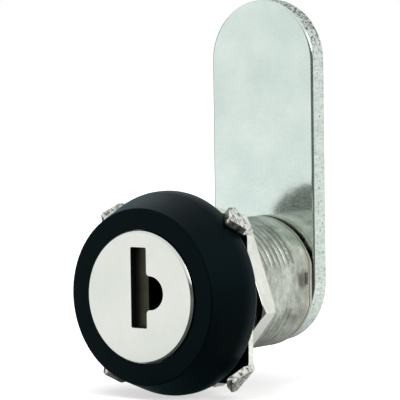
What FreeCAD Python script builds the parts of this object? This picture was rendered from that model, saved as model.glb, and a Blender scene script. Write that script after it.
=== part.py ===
"""Cam lock for a furniture door, as a parametric assembly of its separate pieces.

The barrel lies along Y. The key enters from -Y and the cam hangs on the +Y end, standing up along +Z.
The origin is on the barrel's axis, in the plane where the back of the head meets the door front.
"""
import FreeCAD, Part
import Sketcher
import math
import os
from types import SimpleNamespace
from FreeCAD import Placement, Rotation, Vector

os.makedirs("parts", exist_ok=True)
doc = FreeCAD.newDocument("cam_lock")

# Driving sizes in millimetres and degrees
SIZES = [
    ("thread_radius", 8.5, "outside of the barrel's thread"),
    ("flat_depth", 0.5, "how deep each side flat is cut into the barrel"),
    ("barrel_length", 18.35, "barrel behind the door face"),
    ("barrel_end_bevel", 0.45, "bevel on the barrel's rear edge"),
    ("head_depth", 7.2, "black collar in front of the door face"),
    ("head_radius", 12.85, "collar at its widest"),
    ("face_radius", 11.0, "collar at its front face"),
    ("head_band", 2.1, "straight band of the collar beside the door"),
    ("collar_wall", 1.4, "collar's front wall"),
    ("collar_side", 1.35, "collar's side wall at its front face"),
    ("collar_front_bevel", 0.15, "bevel on the collar's front edge"),
    ("collar_rear_bevel", 0.65, "bevel on the collar's rear edge"),
    ("web", 1.75, "flange metal behind the plug's head"),
    ("turn_gap", 0.05, "radial clearance round whatever turns"),
    ("end_gap", 0.05, "end clearance of the plug's head"),
    ("disc_over", 0.3, "bright face disc outside the barrel's flats"),
    ("disc_sheet", 1.0, "face disc thickness"),
    ("disc_proud", 0.4, "face disc in front of the collar"),
    ("disc_edge", 0.25, "bevel round the face disc"),
    ("disc_gap", 0.1, "gap between disc and collar"),
    ("skirt_wall", 0.35, "wall of the face disc's skirt"),
    ("skirt_depth", 0.6, "depth of the face disc's skirt"),
    ("plug_radius", 5.75, "plug behind its head"),
    ("plug_proud", 0.2, "plug behind the barrel's end"),
    ("tail_side", 7.0, "square tail of the plug"),
    ("tail_short", 0.2, "tail end in front of the cam's back"),
    ("slot_width", 2.4, "key slot"),
    ("slot_inset", 2.1, "top of the key slot inside the face disc's edge"),
    ("slot_bottom", 3.8, "bottom of the key slot below the axis"),
    ("slot_left", 0.05, "middle of the slot left of the axis"),
    ("slot_corner", 0.2, "round in the corners of the face's slot"),
    ("blade_top", 4.7, "top of the narrow keyway above the axis"),
    ("keyway_end", 11.6, "keyway behind the door face"),
    ("lobe_radius", 2.1, "round lobe on the slot's right"),
    ("lobe_right", 1.65, "middle of the lobe right of the axis"),
    ("lobe_up", 0.6, "middle of the lobe above the axis"),
    ("lobe_blend", 0.5, "round where lobe and slot meet"),
    ("lobe_depth", 3.9, "lobe behind the face disc"),
    ("stop_inner", 6.3, "stop lug, inner radius"),
    ("stop_width", 1.4, "stop lug, radial width"),
    ("stop_height", 0.8, "stop lug behind the plug's head"),
    ("stop_angle", 20.0, "stop lug, arc in degrees"),
    ("stop_play", 0.1, "clearance round the stop lug"),
    ("turn_angle", 90.0, "quarter turn between the stops"),
    ("wafer_sheet", 0.9, "wafer thickness"),
    ("wafer_width", 6.0, "wafer width"),
    ("wafer_gap", 0.06, "clearance round a wafer"),
    ("wafer_pitch", 1.6, "wafer to wafer"),
    ("wafer_start", 0.6, "front of the first wafer behind the door face"),
    ("wafer_travel", 0.7, "how far a wafer springs out"),
    ("window_height", 6.2, "key window in a wafer"),
    ("window_gap", 0.2, "key window beside the key slot"),
    ("lug_length", 1.05, "spring lug on a wafer's side"),
    ("lug_height", 0.9, "spring lug on a wafer's side"),
    ("lug_up", 0.2, "spring lug from the wafer's middle"),
    ("wafer_spring_length", 2.4, "spring under a wafer's lug"),
    ("wafer_spring_radius", 0.36, "middle of the spring's wire"),
    ("wire", 0.16, "spring wire diameter"),
    ("catch_inset", 2.9, "front of the plug catch in front of the barrel's end"),
    ("catch_sheet", 1.3, "plug catch, along the axis"),
    ("catch_height", 2.0, "plug catch, up and down"),
    ("catch_up", 0.7, "middle of the plug catch above the axis"),
    ("catch_tip", 6.45, "outer end of the plug catch"),
    ("catch_length", 2.85, "plug catch, along its travel"),
    ("catch_pocket", 2.15, "bottom of the catch's pocket from the axis"),
    ("catch_gap", 0.06, "clearance round the catch"),
    ("catch_spring_radius", 0.42, "middle of the catch spring's wire"),
    ("groove_radius", 6.85, "catch groove inside the barrel"),
    ("groove_play", 0.15, "groove beyond the catch at each side"),
    ("dimple_length", 2.0, "cast dimple over the catch, along the axis"),
    ("dimple_width", 1.6, "cast dimple, up and down"),
    ("dimple_depth", 0.3, "cast dimple"),
    ("pin_radius", 0.35, "shutter pin"),
    ("pin_left", 2.35, "shutter pin left of the axis"),
    ("knuckle_radius", 0.75, "rolled edge of the shutter"),
    ("shutter_sheet", 0.45, "shutter thickness"),
    ("shutter_right", 0.7, "shutter's free edge right of the axis"),
    ("shutter_gap", 0.06, "gaps round the shutter"),
    ("shutter_overlap", 0.4, "shutter past the slot's ends"),
    ("shutter_notch", 1.7, "notch in the rolled edge for the spring"),
    ("recess_depth", 4.1, "shutter recess behind the face disc"),
    ("recess_right", 1.5, "shutter recess right of the axis"),
    ("pin_seat", 0.8, "shutter pin past the recess at each end"),
    ("shutter_coil", 0.52, "middle of the shutter spring's wire"),
    ("shutter_coil_pitch", 0.3, "shutter spring"),
    ("shutter_leg", 2.1, "legs of the shutter spring"),
    ("shutter_bend", 0.15, "bend of the leg behind the flap"),
    ("washer_inset", 2.2, "side of the spur washer inside the head's edge"),
    ("washer_sheet", 1.0, "spur washer thickness"),
    ("washer_back", 0.6, "spur washer behind the head"),
    ("washer_gap", 0.65, "spur washer round the barrel"),
    ("washer_drop", 0.5, "how far the loose spur washer hangs below the axis"),
    ("lip_gap", 0.15, "spur washer's lips from the barrel's flats"),
    ("spur_room", 0.45, "bend of a spur outside the head's edge"),
    ("spur_bend", 0.4, "inside bend of a spur"),
    ("spur_flare", 0.05, "how far a spur leans out for each millimetre forward"),
    ("spur_reach", 2.9, "spur tips in front of the washer"),
    ("spur_width", 3.8, "width of a spur where it leaves the washer"),
    ("spur_point", 0.4, "blunt end of a spur"),
    ("nut_wall", 2.5, "hex nut from its thread to its flats"),
    ("nut_height", 2.55, "hex nut thickness"),
    ("nut_turn", 10.0, "how far a nut corner points below the right, in degrees"),
    ("nut_bevel", 0.3, "bevel of the nut's corners along the axis"),
    ("nut_bevel_in", 0.55, "bevel of the nut's corners, inwards"),
    ("cam_over", 0.1, "side of the cam outside the barrel's flats"),
    ("cam_sheet", 2.6, "cam thickness"),
    ("cam_reach", 36.6, "cam tip above the axis"),
    ("cam_bevel", 0.22, "broken front edge of the cam"),
    ("cam_hole_gap", 0.05, "cam hole round the square tail"),
    ("plain_washer_inset", 1.9, "plain washer's edge inside the cam's side"),
    ("plain_washer_sheet", 1.0, "plain washer thickness"),
    ("spring_washer_radius", 3.8, "split spring washer"),
    ("spring_washer_sheet", 0.9, "split spring washer thickness"),
    ("spring_washer_cut", 0.6, "split in the spring washer"),
    ("screw_hole_gap", 0.25, "washer holes round the screw"),
    ("screw_radius", 1.95, "cam screw's thread"),
    ("screw_length", 6.4, "cam screw under its head"),
    ("screw_head_radius", 3.7, "cam screw's head"),
    ("screw_head_height", 2.4, "cam screw's head"),
    ("screw_head_bevel", 0.7, "bevel on the cam screw's head"),
    ("tapped_gap", 0.02, "tapped hole round the cam screw"),
    ("tapped_spare", 0.5, "tapped hole beyond the screw's end"),
    ("recess_width", 0.9, "cross recess in the screw"),
    ("recess_span", 4.2, "cross recess in the screw"),
    ("cross_depth", 1.3, "cross recess in the screw"),
]


class Size:
    """A size known both as a number and as the expression that gives it from the sheet."""

    def __init__(self, text, number):
        self.text = text
        self.number = number

    def __add__(self, other):
        other = as_size(other)
        return Size(f"({self.text} + {other.text})", self.number + other.number)

    def __sub__(self, other):
        other = as_size(other)
        return Size(f"({self.text} - {other.text})", self.number - other.number)

    def __mul__(self, other):
        other = as_size(other)
        return Size(f"({self.text} * {other.text})", self.number * other.number)

    def __truediv__(self, other):
        other = as_size(other)
        return Size(f"({self.text} / {other.text})", self.number / other.number)

    def __neg__(self):
        return Size(f"(0 - {self.text})", -self.number)

    def __radd__(self, other):
        return as_size(other) + self

    def __rsub__(self, other):
        return as_size(other) - self

    def __rmul__(self, other):
        return as_size(other) * self


def as_size(value):
    """A plain number as a Size."""
    return value if isinstance(value, Size) else Size(repr(float(value)), float(value))


def root_of(size):
    return Size(f"sqrt({size.text})", math.sqrt(size.number))


def fill_sheet():
    """Write the driving sizes into the spreadsheet and give them back by name."""
    sheet = doc.addObject("Spreadsheet::Sheet", "sizes")
    named = {}
    for row, (alias, number, meaning) in enumerate(SIZES, 1):
        sheet.set(f"A{row}", meaning)
        sheet.set(f"B{row}", str(number))
        sheet.setAlias(f"B{row}", alias)
    doc.recompute()
    for alias, _, _ in SIZES:
        named[alias] = Size(f"sizes.{alias}", float(sheet.get(alias)))
    return SimpleNamespace(**named)


s = fill_sheet()

# Places along the axis, counted from the door face
HEAD_FRONT = -s.head_depth
DISC_FRONT = -(s.head_depth + s.disc_proud)
DISC_BACK = DISC_FRONT + s.disc_sheet
FLANGE_FRONT = HEAD_FRONT + s.collar_wall
FLOOR = -s.web
PLUG_HEAD_BACK = FLOOR - s.end_gap
CAM_FRONT = s.barrel_length + s.plug_proud
CAM_BACK = CAM_FRONT + s.cam_sheet
TAIL_END = CAM_BACK - s.tail_short
PLAIN_WASHER_BACK = CAM_BACK + s.plain_washer_sheet
SCREW_SEAT = PLAIN_WASHER_BACK + s.spring_washer_sheet
WASHER_BACK = s.washer_back + s.washer_sheet

# Radii and edges that several pieces share
FLAT_SIDE = s.thread_radius - s.flat_depth
DISC_RADIUS = FLAT_SIDE + s.disc_over
PLUG_HEAD_RADIUS = DISC_RADIUS - s.skirt_wall
FLANGE_RADIUS = s.face_radius - s.collar_side
BORE_RADIUS = s.plug_radius + s.turn_gap
SLOT_LEFT = -(s.slot_left + s.slot_width / 2)
SLOT_RIGHT = s.slot_width / 2 - s.slot_left
SLOT_TOP = DISC_RADIUS - s.slot_inset
SLOT_BOTTOM = -s.slot_bottom
SLOT_HEIGHT = SLOT_TOP - SLOT_BOTTOM
SLOT_MIDDLE = (SLOT_TOP + SLOT_BOTTOM) / 2
CATCH_LOW = s.catch_up - s.catch_height / 2
CATCH_HIGH = s.catch_up + s.catch_height / 2
CATCH_START = s.barrel_length - s.catch_inset
CATCH_END = CATCH_START + s.catch_sheet
PIN_DEEP = DISC_BACK + s.shutter_gap + s.knuckle_radius
CAM_SIDE = FLAT_SIDE + s.cam_over
WASHER_SIDE = s.head_radius - s.washer_inset
SPUR_ROOT = s.head_radius + s.spur_room
WAFER_COUNT = 6
CLEAR = as_size(1.0)  # how far a cut runs past what it cuts


def origin_part(body, role):
    """A body's own origin plane or axis."""
    return [part for part in body.Origin.OriginFeatures if part.Role == role][0]


def new_body(name):
    body = doc.addObject("PartDesign::Body", name)
    body.Label = name
    return body


def new_sketch(body, name, plane, offset=None, turned=None):
    """A sketch on one of the body's origin planes, moved along its normal or turned about its own Y."""
    sketch = body.newObject("Sketcher::SketchObject", name)
    sketch.AttachmentSupport = [(origin_part(body, plane), "")]
    sketch.MapMode = "FlatFace"
    turn = Rotation(Vector(0, 1, 0), turned.number if turned else 0)
    sketch.AttachmentOffset = Placement(Vector(0, 0, offset.number if offset else 0), turn)
    if offset:
        sketch.setExpression("AttachmentOffset.Base.z", offset.text)
    if turned:
        sketch.setExpression("AttachmentOffset.Rotation.Angle", turned.text)
    return sketch


def cross_sketch(body, name, along):
    """A sketch square to the barrel, at a place along its axis. Its X is the lock's X and its Y is the lock's Z."""
    return new_sketch(body, name, "XZ_Plane", offset=-as_size(along))


def side_sketch(body, name, turned=None):
    """A sketch through the barrel's axis. Its X is the distance from the axis and its Y is the lock's Y."""
    return new_sketch(body, name, "XY_Plane", turned=turned)


def hold(sketch, kind, where, size):
    """Add a dimension to a sketch and bind it to its size."""
    number = math.radians(size.number) if kind == "Angle" else size.number
    index = sketch.addConstraint(Sketcher.Constraint(kind, *where, number))
    name = f"held_{index}"
    sketch.renameConstraint(index, name)
    sketch.setExpression(f"Constraints.{name}", size.text)


def hold_point(sketch, shape, end, place):
    """Hold one point of a sketch to its two coordinates."""
    for axis_line, kind, coordinate in zip((-2, -1), ("DistanceX", "DistanceY"), place):
        coordinate = as_size(coordinate)
        if coordinate.number == 0:
            sketch.addConstraint(Sketcher.Constraint("PointOnObject", shape, end, axis_line))
        else:
            hold(sketch, kind, (-1, 1, shape, end), coordinate)


def outline(sketch, corners):
    """A closed outline of straight lines through corners that are held to their sizes."""
    first = sketch.GeometryCount
    points = [Vector(as_size(x).number, as_size(y).number, 0) for x, y in corners]
    count = len(points)
    for index in range(count):
        sketch.addGeometry(Part.LineSegment(points[index], points[(index + 1) % count]), False)
    for index in range(count):
        following = first + (index + 1) % count
        sketch.addConstraint(Sketcher.Constraint("Coincident", first + index, 2, following, 1))
        hold_point(sketch, first + index, 1, corners[index])


def rectangle(sketch, left, right, low, high):
    outline(sketch, [(left, low), (right, low), (right, high), (left, high)])


def circle(sketch, radius, place=(0, 0)):
    middle = Vector(as_size(place[0]).number, as_size(place[1]).number, 0)
    shape = sketch.addGeometry(Part.Circle(middle, Vector(0, 0, 1), radius.number), False)
    hold_point(sketch, shape, 3, place)
    hold(sketch, "Radius", (shape,), radius)


def arc_through(sketch, middle, radius, start_angle, end_angle):
    """An arc for an outline that is dimensioned by the piece that draws it."""
    round_line = Part.Circle(Vector(middle[0], middle[1], 0), Vector(0, 0, 1), radius)
    return sketch.addGeometry(Part.ArcOfCircle(round_line, start_angle, end_angle), False)


def obround(sketch, half_width, top):
    """A strap with full-round ends, one round about the origin and the other just under top."""
    reach = top - half_width
    low = arc_through(sketch, (0, 0), half_width.number, math.pi, 2 * math.pi)
    high = arc_through(sketch, (0, reach.number), half_width.number, 0, math.pi)
    right = sketch.addGeometry(
        Part.LineSegment(Vector(half_width.number, 0, 0), Vector(half_width.number, reach.number, 0)), False
    )
    left = sketch.addGeometry(
        Part.LineSegment(Vector(-half_width.number, reach.number, 0), Vector(-half_width.number, 0, 0)), False
    )
    for shape, end, other, other_end in ((low, 2, right, 1), (right, 2, high, 1), (high, 2, left, 1), (left, 2, low, 1)):
        sketch.addConstraint(Sketcher.Constraint("Tangent", shape, end, other, other_end))
    hold_point(sketch, low, 3, (0, 0))
    hold_point(sketch, high, 3, (0, reach))
    hold(sketch, "Radius", (low,), half_width)


def extrude(kind, body, sketch, length, reverse=False, both_ways=False):
    feature = body.newObject(f"PartDesign::{kind}", f"{sketch.Name}_{kind.lower()}")
    feature.Profile = sketch
    feature.Length = length.number
    feature.setExpression("Length", length.text)
    feature.Reversed = reverse
    if both_ways:
        feature.SideType = "Symmetric"
    sketch.Visibility = False
    return feature


def pad_back(body, sketch, length):
    """Material from a cross sketch towards the cam."""
    return extrude("Pad", body, sketch, length, reverse=True)


def cut_back(body, sketch, length):
    """A cut from a cross sketch towards the cam."""
    return extrude("Pocket", body, sketch, length)


def revolve(kind, body, sketch, angle=None):
    """Turn a side sketch about the barrel's axis, all round or by an angle centred on the sketch."""
    feature = body.newObject(f"PartDesign::{kind}", f"{sketch.Name}_{kind.lower()}")
    feature.Profile = sketch
    feature.ReferenceAxis = (sketch, ["V_Axis"])
    feature.Angle = angle.number if angle else 360
    if angle:
        feature.Midplane = True
        feature.setExpression("Angle", angle.text)
    sketch.Visibility = False
    return feature


def find_edges(feature, wanted):
    """Names of the edges of a feature that pass a test."""
    doc.recompute()
    return [f"Edge{index}" for index, edge in enumerate(feature.Shape.Edges, 1) if wanted(edge)]


def dress(kind, body, feature, wanted, size):
    """A fillet or chamfer on the edges that pass a test."""
    edges = find_edges(feature, wanted)
    if not edges:
        raise RuntimeError(f"{feature.Name}: no edge to dress")
    dressed = body.newObject(f"PartDesign::{kind}", f"{feature.Name}_{kind.lower()}")
    dressed.Base = (feature, edges)
    key = "Radius" if kind == "Fillet" else "Size"
    setattr(dressed, key, size.number)
    dressed.setExpression(key, size.text)
    return dressed


def is_ring(edge, radius, along):
    """True for a circle about the barrel's axis with this radius at this place."""
    curve = edge.Curve
    if not isinstance(curve, Part.Circle):
        return False
    on_axis = math.hypot(curve.Center.x, curve.Center.z) < 1e-4
    return on_axis and abs(curve.Radius - radius.number) < 1e-3 and abs(curve.Center.y - along.number) < 1e-3


def is_along(edge, places):
    """True for a straight edge along the barrel that passes one of the places in X and Z."""
    ends = [vertex.Point for vertex in edge.Vertexes]
    if not isinstance(edge.Curve, Part.Line) or (ends[0] - ends[-1]).cross(Vector(0, 1, 0)).Length > 1e-5:
        return False
    return any(math.hypot(ends[0].x - x, ends[0].z - z) < 1e-3 for x, z in places)


def coil(radius, turn, rise, start=0.0):
    """Arcs that wind round Z from an angle, through a turn in degrees, while rising."""
    steps = 2 * math.ceil(turn / 180)
    places = []
    for step in range(steps + 1):
        angle = math.radians(start + turn * step / steps)
        places.append(Vector(radius * math.cos(angle), radius * math.sin(angle), rise * step / steps))
    return [Part.Arc(*places[n : n + 3]).toShape() for n in range(0, steps, 2)]


def wire_solid(path, wire):
    """Square wire along a path of joined edges."""
    line = Part.Wire(path)
    start = line.Edges[0]
    place = start.valueAt(start.FirstParameter)
    tangent = start.tangentAt(start.FirstParameter)
    aside = tangent.cross(Vector(0, 0, 1)).normalize()
    upward = aside.cross(tangent).normalize()
    half = wire / 2
    corners = [place + aside * (half * x) + upward * (half * y) for x, y in ((1, 1), (-1, 1), (-1, -1), (1, -1), (1, 1))]
    return line.makePipeShell([Part.makePolygon(corners)], True, False)


def coil_spring(radius, wire, length):
    """A compression spring along Z from the origin, inside its length, with wide open turns."""
    turns = 2
    spring = wire_solid(coil(radius, turns * 360, length - wire * 1.3), wire)
    spring.translate(Vector(0, 0, wire * 0.65))
    return spring


def place_shape(name, shape):
    """A document object that carries a finished shape."""
    feature = doc.addObject("Part::Feature", name)
    feature.Label = name
    feature.Shape = shape
    return feature


# Black moulded collar

def make_head_collar():
    body = new_body("head_collar")
    sketch = side_sketch(body, "collar_profile")
    hole = DISC_RADIUS + s.disc_gap
    outline(sketch, [
        (hole, HEAD_FRONT), (s.face_radius, HEAD_FRONT), (s.head_radius, -s.head_band),
        (s.head_radius, 0), (FLANGE_RADIUS, 0), (FLANGE_RADIUS, FLANGE_FRONT), (hole, FLANGE_FRONT),
    ])
    turned = revolve("Revolution", body, sketch)
    front = dress("Chamfer", body, turned, lambda edge: is_ring(edge, s.face_radius, HEAD_FRONT), s.collar_front_bevel)
    dress("Chamfer", body, front, lambda edge: is_ring(edge, s.head_radius, as_size(0)), s.collar_rear_bevel)


# Die-cast barrel with its flange, bore and key-side counterbore

def make_lock_body():
    body = new_body("lock_body")
    counterbore = PLUG_HEAD_RADIUS + s.turn_gap
    sketch = side_sketch(body, "barrel_profile")
    outline(sketch, [
        (counterbore, FLANGE_FRONT), (FLANGE_RADIUS, FLANGE_FRONT), (FLANGE_RADIUS, 0),
        (s.thread_radius, 0), (s.thread_radius, s.barrel_length),
        (BORE_RADIUS, s.barrel_length), (BORE_RADIUS, FLOOR), (counterbore, FLOOR),
    ])
    turned = revolve("Revolution", body, sketch)
    dress("Chamfer", body, turned, lambda edge: is_ring(edge, s.thread_radius, s.barrel_length), s.barrel_end_bevel)

    flats = cross_sketch(body, "side_flats", 0)
    beyond = s.thread_radius + CLEAR
    rectangle(flats, FLAT_SIDE, beyond, -beyond, beyond)
    rectangle(flats, -beyond, -FLAT_SIDE, -beyond, beyond)
    cut_back(body, flats, s.barrel_length + CLEAR)

    # a sprung wafer stands in the upright pair or, a quarter turn on, in the level pair
    half = s.wafer_width / 2 + s.wafer_gap * 3
    deep = s.plug_radius + s.wafer_travel + s.wafer_gap * 3
    for name, across, upright in (("upright_channels", half, deep), ("level_channels", deep, half)):
        channels = cross_sketch(body, name, FLOOR)
        rectangle(channels, -across, across, -upright, upright)
        cut_back(body, channels, s.wafer_start + s.wafer_pitch * WAFER_COUNT + s.web)

    groove = side_sketch(body, "catch_groove")
    rectangle(groove, s.plug_radius, s.groove_radius, CATCH_START - s.groove_play, CATCH_END + s.groove_play)
    revolve("Groove", body, groove)

    dimple = new_sketch(body, "catch_dimple", "YZ_Plane", offset=FLAT_SIDE - s.dimple_depth)
    middle = CATCH_START + s.catch_sheet / 2
    rectangle(
        dimple, middle - s.dimple_length / 2, middle + s.dimple_length / 2,
        s.catch_up - s.dimple_width / 2, s.catch_up + s.dimple_width / 2,
    )
    extrude("Pocket", body, dimple, s.dimple_depth + CLEAR, reverse=True)

    # the stop lug runs in this arc, whose ends are the ends of the quarter turn
    path = side_sketch(body, "stop_path", turned=as_size(-90))
    rectangle(
        path, s.stop_inner - s.stop_play, s.stop_inner + s.stop_width + s.stop_play,
        FLOOR - CLEAR * 0.1, PLUG_HEAD_BACK + s.stop_height + s.stop_play,
    )
    revolve("Groove", body, path, angle=s.turn_angle + s.stop_angle + s.stop_play * 10)


# Turning plug with its keyway, wafer slots, shutter recess, stop lug and square tail

def slot_outline(sketch, top):
    rectangle(sketch, SLOT_LEFT, SLOT_RIGHT, SLOT_BOTTOM, top)


def wafer_slots(body, name, first, side):
    """Slots for every second wafer. side is 1 where the spring pocket is on the left, -1 on the right."""
    sketch = cross_sketch(body, name, s.wafer_start + s.wafer_pitch * first - s.wafer_gap)
    half = s.wafer_width / 2 + s.wafer_gap
    past = s.plug_radius + CLEAR
    pocket = half + s.lug_length
    spring_end = s.lug_up - s.wafer_spring_length - s.wafer_gap
    lug_end = s.lug_up + s.lug_height + s.wafer_travel + s.wafer_gap
    outline(sketch, [
        (half * side, past * -side), (half * side, past * side), (half * -side, past * side),
        (half * -side, lug_end * side), (pocket * -side, lug_end * side), (pocket * -side, spring_end * side),
        (half * -side, spring_end * side), (half * -side, past * -side),
    ])
    slot = cut_back(body, sketch, s.wafer_sheet + s.wafer_gap * 2)
    row = body.newObject("PartDesign::LinearPattern", f"{name}_row")
    row.Originals = [slot]
    row.Direction = (origin_part(body, "Y_Axis"), [""])
    length = s.wafer_pitch * (WAFER_COUNT - 2)
    row.Length = length.number
    row.setExpression("Length", length.text)
    row.Occurrences = WAFER_COUNT // 2
    body.Tip = row


def make_plug():
    body = new_body("plug")
    sketch = side_sketch(body, "plug_profile")
    outline(sketch, [
        (0, DISC_BACK), (PLUG_HEAD_RADIUS, DISC_BACK), (PLUG_HEAD_RADIUS, PLUG_HEAD_BACK),
        (s.plug_radius, PLUG_HEAD_BACK), (s.plug_radius, CAM_FRONT), (0, CAM_FRONT),
    ])
    revolve("Revolution", body, sketch)

    tail = cross_sketch(body, "tail", CAM_FRONT)
    half = s.tail_side / 2
    rectangle(tail, -half, half, -half, half)
    pad_back(body, tail, TAIL_END - CAM_FRONT)

    lug = side_sketch(body, "stop_lug", turned=-(s.turn_angle / 2 + 90))
    rectangle(
        lug, s.stop_inner, s.stop_inner + s.stop_width,
        PLUG_HEAD_BACK - CLEAR, PLUG_HEAD_BACK + s.stop_height,
    )
    revolve("Revolution", body, lug, angle=s.stop_angle)

    keyway = cross_sketch(body, "keyway", DISC_BACK)
    slot_outline(keyway, s.blade_top)
    cut_back(body, keyway, s.keyway_end - DISC_BACK)

    lobe = cross_sketch(body, "keyway_lobe", DISC_BACK)
    circle(lobe, s.lobe_radius, (s.lobe_right, s.lobe_up))
    cut_back(body, lobe, s.lobe_depth)

    recess = cross_sketch(body, "shutter_recess", DISC_BACK)
    past = s.shutter_overlap + s.shutter_gap
    left = -(s.pin_left + s.knuckle_radius + s.shutter_gap)
    rectangle(recess, left, s.recess_right, SLOT_BOTTOM - past, SLOT_TOP + past)
    cut_back(body, recess, s.recess_depth)

    pin_hole = new_sketch(body, "pin_hole", "XY_Plane", offset=SLOT_BOTTOM - past - s.pin_seat)
    circle(pin_hole, s.pin_radius, (-s.pin_left, PIN_DEEP))
    extrude("Pocket", body, pin_hole, SLOT_HEIGHT + (past + s.pin_seat) * 2, reverse=True)

    catch_pocket = new_sketch(body, "catch_pocket", "YZ_Plane", offset=s.catch_pocket)
    rectangle(
        catch_pocket, CATCH_START - s.catch_gap, CATCH_END + s.catch_gap,
        CATCH_LOW - s.catch_gap, CATCH_HIGH + s.catch_gap,
    )
    extrude("Pocket", body, catch_pocket, s.plug_radius, reverse=True)

    tapped = cross_sketch(body, "tapped_hole", SCREW_SEAT - s.screw_length - s.tapped_spare)
    circle(tapped, s.screw_radius + s.tapped_gap)
    cut_back(body, tapped, s.screw_length)

    wafer_slots(body, "upper_slots", 0, 1)
    wafer_slots(body, "lower_slots", 1, -1)


# Bright face disc with a skirt round the plug's head

def make_plug_face():
    body = new_body("plug_face")
    sketch = side_sketch(body, "disc_profile")
    skirt_back = DISC_BACK + s.skirt_depth
    outline(sketch, [
        (0, DISC_FRONT), (DISC_RADIUS, DISC_FRONT), (DISC_RADIUS, skirt_back),
        (PLUG_HEAD_RADIUS, skirt_back), (PLUG_HEAD_RADIUS, DISC_BACK), (0, DISC_BACK),
    ])
    disc = revolve("Revolution", body, sketch)
    dress("Chamfer", body, disc, lambda edge: is_ring(edge, DISC_RADIUS, DISC_FRONT), s.disc_edge)

    slot = cross_sketch(body, "face_slot", DISC_FRONT)
    slot_outline(slot, SLOT_TOP)
    cut_back(body, slot, s.disc_sheet)
    lobe = cross_sketch(body, "face_lobe", DISC_FRONT)
    circle(lobe, s.lobe_radius, (s.lobe_right, s.lobe_up))
    cut = cut_back(body, lobe, s.disc_sheet)

    rise = math.sqrt(s.lobe_radius.number ** 2 - (s.lobe_right.number - SLOT_RIGHT.number) ** 2)
    meeting = [(SLOT_RIGHT.number, s.lobe_up.number + rise), (SLOT_RIGHT.number, s.lobe_up.number - rise)]
    blended = dress("Fillet", body, cut, lambda edge: is_along(edge, meeting), s.lobe_blend)
    corners = [(x.number, z.number) for x in (SLOT_LEFT, SLOT_RIGHT) for z in (SLOT_TOP, SLOT_BOTTOM)]
    dress("Fillet", body, blended, lambda edge: is_along(edge, corners), s.slot_corner)


# Dust shutter behind the key slot, its pin and its torsion spring

def make_shutter():
    low = SLOT_BOTTOM - s.shutter_overlap
    high = SLOT_TOP + s.shutter_overlap
    body = new_body("dust_shutter")
    flap = new_sketch(body, "flap", "XY_Plane", offset=low)
    front = PIN_DEEP - s.knuckle_radius
    rectangle(flap, -s.pin_left, s.shutter_right, front, front + s.shutter_sheet)
    extrude("Pad", body, flap, high - low)
    roll = new_sketch(body, "rolled_edge", "XY_Plane", offset=low)
    circle(roll, s.knuckle_radius, (-s.pin_left, PIN_DEEP))
    extrude("Pad", body, roll, high - low)
    bore = new_sketch(body, "shutter_bore", "XY_Plane", offset=low)
    circle(bore, s.pin_radius + s.turn_gap, (-s.pin_left, PIN_DEEP))
    extrude("Pocket", body, bore, high - low, reverse=True)
    notch = new_sketch(body, "spring_notch", "XY_Plane", offset=SLOT_MIDDLE - s.shutter_notch / 2)
    room = s.knuckle_radius + s.shutter_gap
    rectangle(notch, -(s.pin_left + room), -(s.pin_left - room), PIN_DEEP - room, PIN_DEEP + room)
    extrude("Pocket", body, notch, s.shutter_notch, reverse=True)

    past = s.shutter_overlap + s.shutter_gap
    pin = doc.addObject("Part::Cylinder", "shutter_pin")
    pin.Label = "shutter_pin"
    pin_length = SLOT_HEIGHT + (past + s.pin_seat) * 2
    pin.setExpression("Radius", s.pin_radius.text)
    pin.setExpression("Height", pin_length.text)
    pin.setExpression("Placement.Base.x", (-s.pin_left).text)
    pin.setExpression("Placement.Base.y", PIN_DEEP.text)
    pin.setExpression("Placement.Base.z", (SLOT_BOTTOM - past - s.pin_seat).text)
    make_shutter_spring()


def make_shutter_spring():
    """Torsion spring round the pin: one leg against the recess wall, the other behind the flap."""
    radius = s.shutter_coil.number
    wire = s.wire.number
    turns = 4
    touch = wire * 0.72
    wall = -(s.knuckle_radius + s.shutter_gap).number + touch
    flap = (s.shutter_sheet - s.knuckle_radius).number + touch
    leg = s.shutter_leg.number

    # the wall leg leans out until its end is at the wall
    lean = math.asin(-wall / math.hypot(radius, leg)) - math.atan2(radius, leg)
    start = 180 + math.degrees(lean)
    # the other leg leaves the coil through a small bend and runs along the flap
    bend = s.shutter_bend.number
    leave = math.asin((flap - bend) / (radius + bend))
    turn = math.degrees(leave) + 360 * turns - start
    rise = s.shutter_coil_pitch.number * turn / 360
    arcs = coil(radius, turn, rise, start)
    first = arcs[0].valueAt(arcs[0].FirstParameter)
    last = arcs[-1].valueAt(arcs[-1].LastParameter)
    wall_end = first + Vector(-math.sin(lean), math.cos(lean), 0) * leg
    heart = last + Vector(math.cos(leave), math.sin(leave), 0) * bend
    turned = math.pi / 2 + leave
    half = math.pi / 2 + turned / 2
    middle = heart + Vector(math.cos(half), math.sin(half), 0) * bend
    straight = heart + Vector(0, bend, 0)
    path = [Part.LineSegment(wall_end, first).toShape()] + arcs
    path.append(Part.Arc(last, middle, straight).toShape())
    path.append(Part.LineSegment(straight, straight + Vector(leg, 0, 0)).toShape())
    spring = wire_solid(path, wire)
    spring.translate(Vector(-s.pin_left.number, PIN_DEEP.number, SLOT_MIDDLE.number - rise / 2))
    place_shape("shutter_spring", spring)


# Six wafers, sprung up and down in turn, and their springs

WINDOW_SHIFTS = (0.45, -0.35, 0.1, -0.5, 0.3, -0.1)


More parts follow.
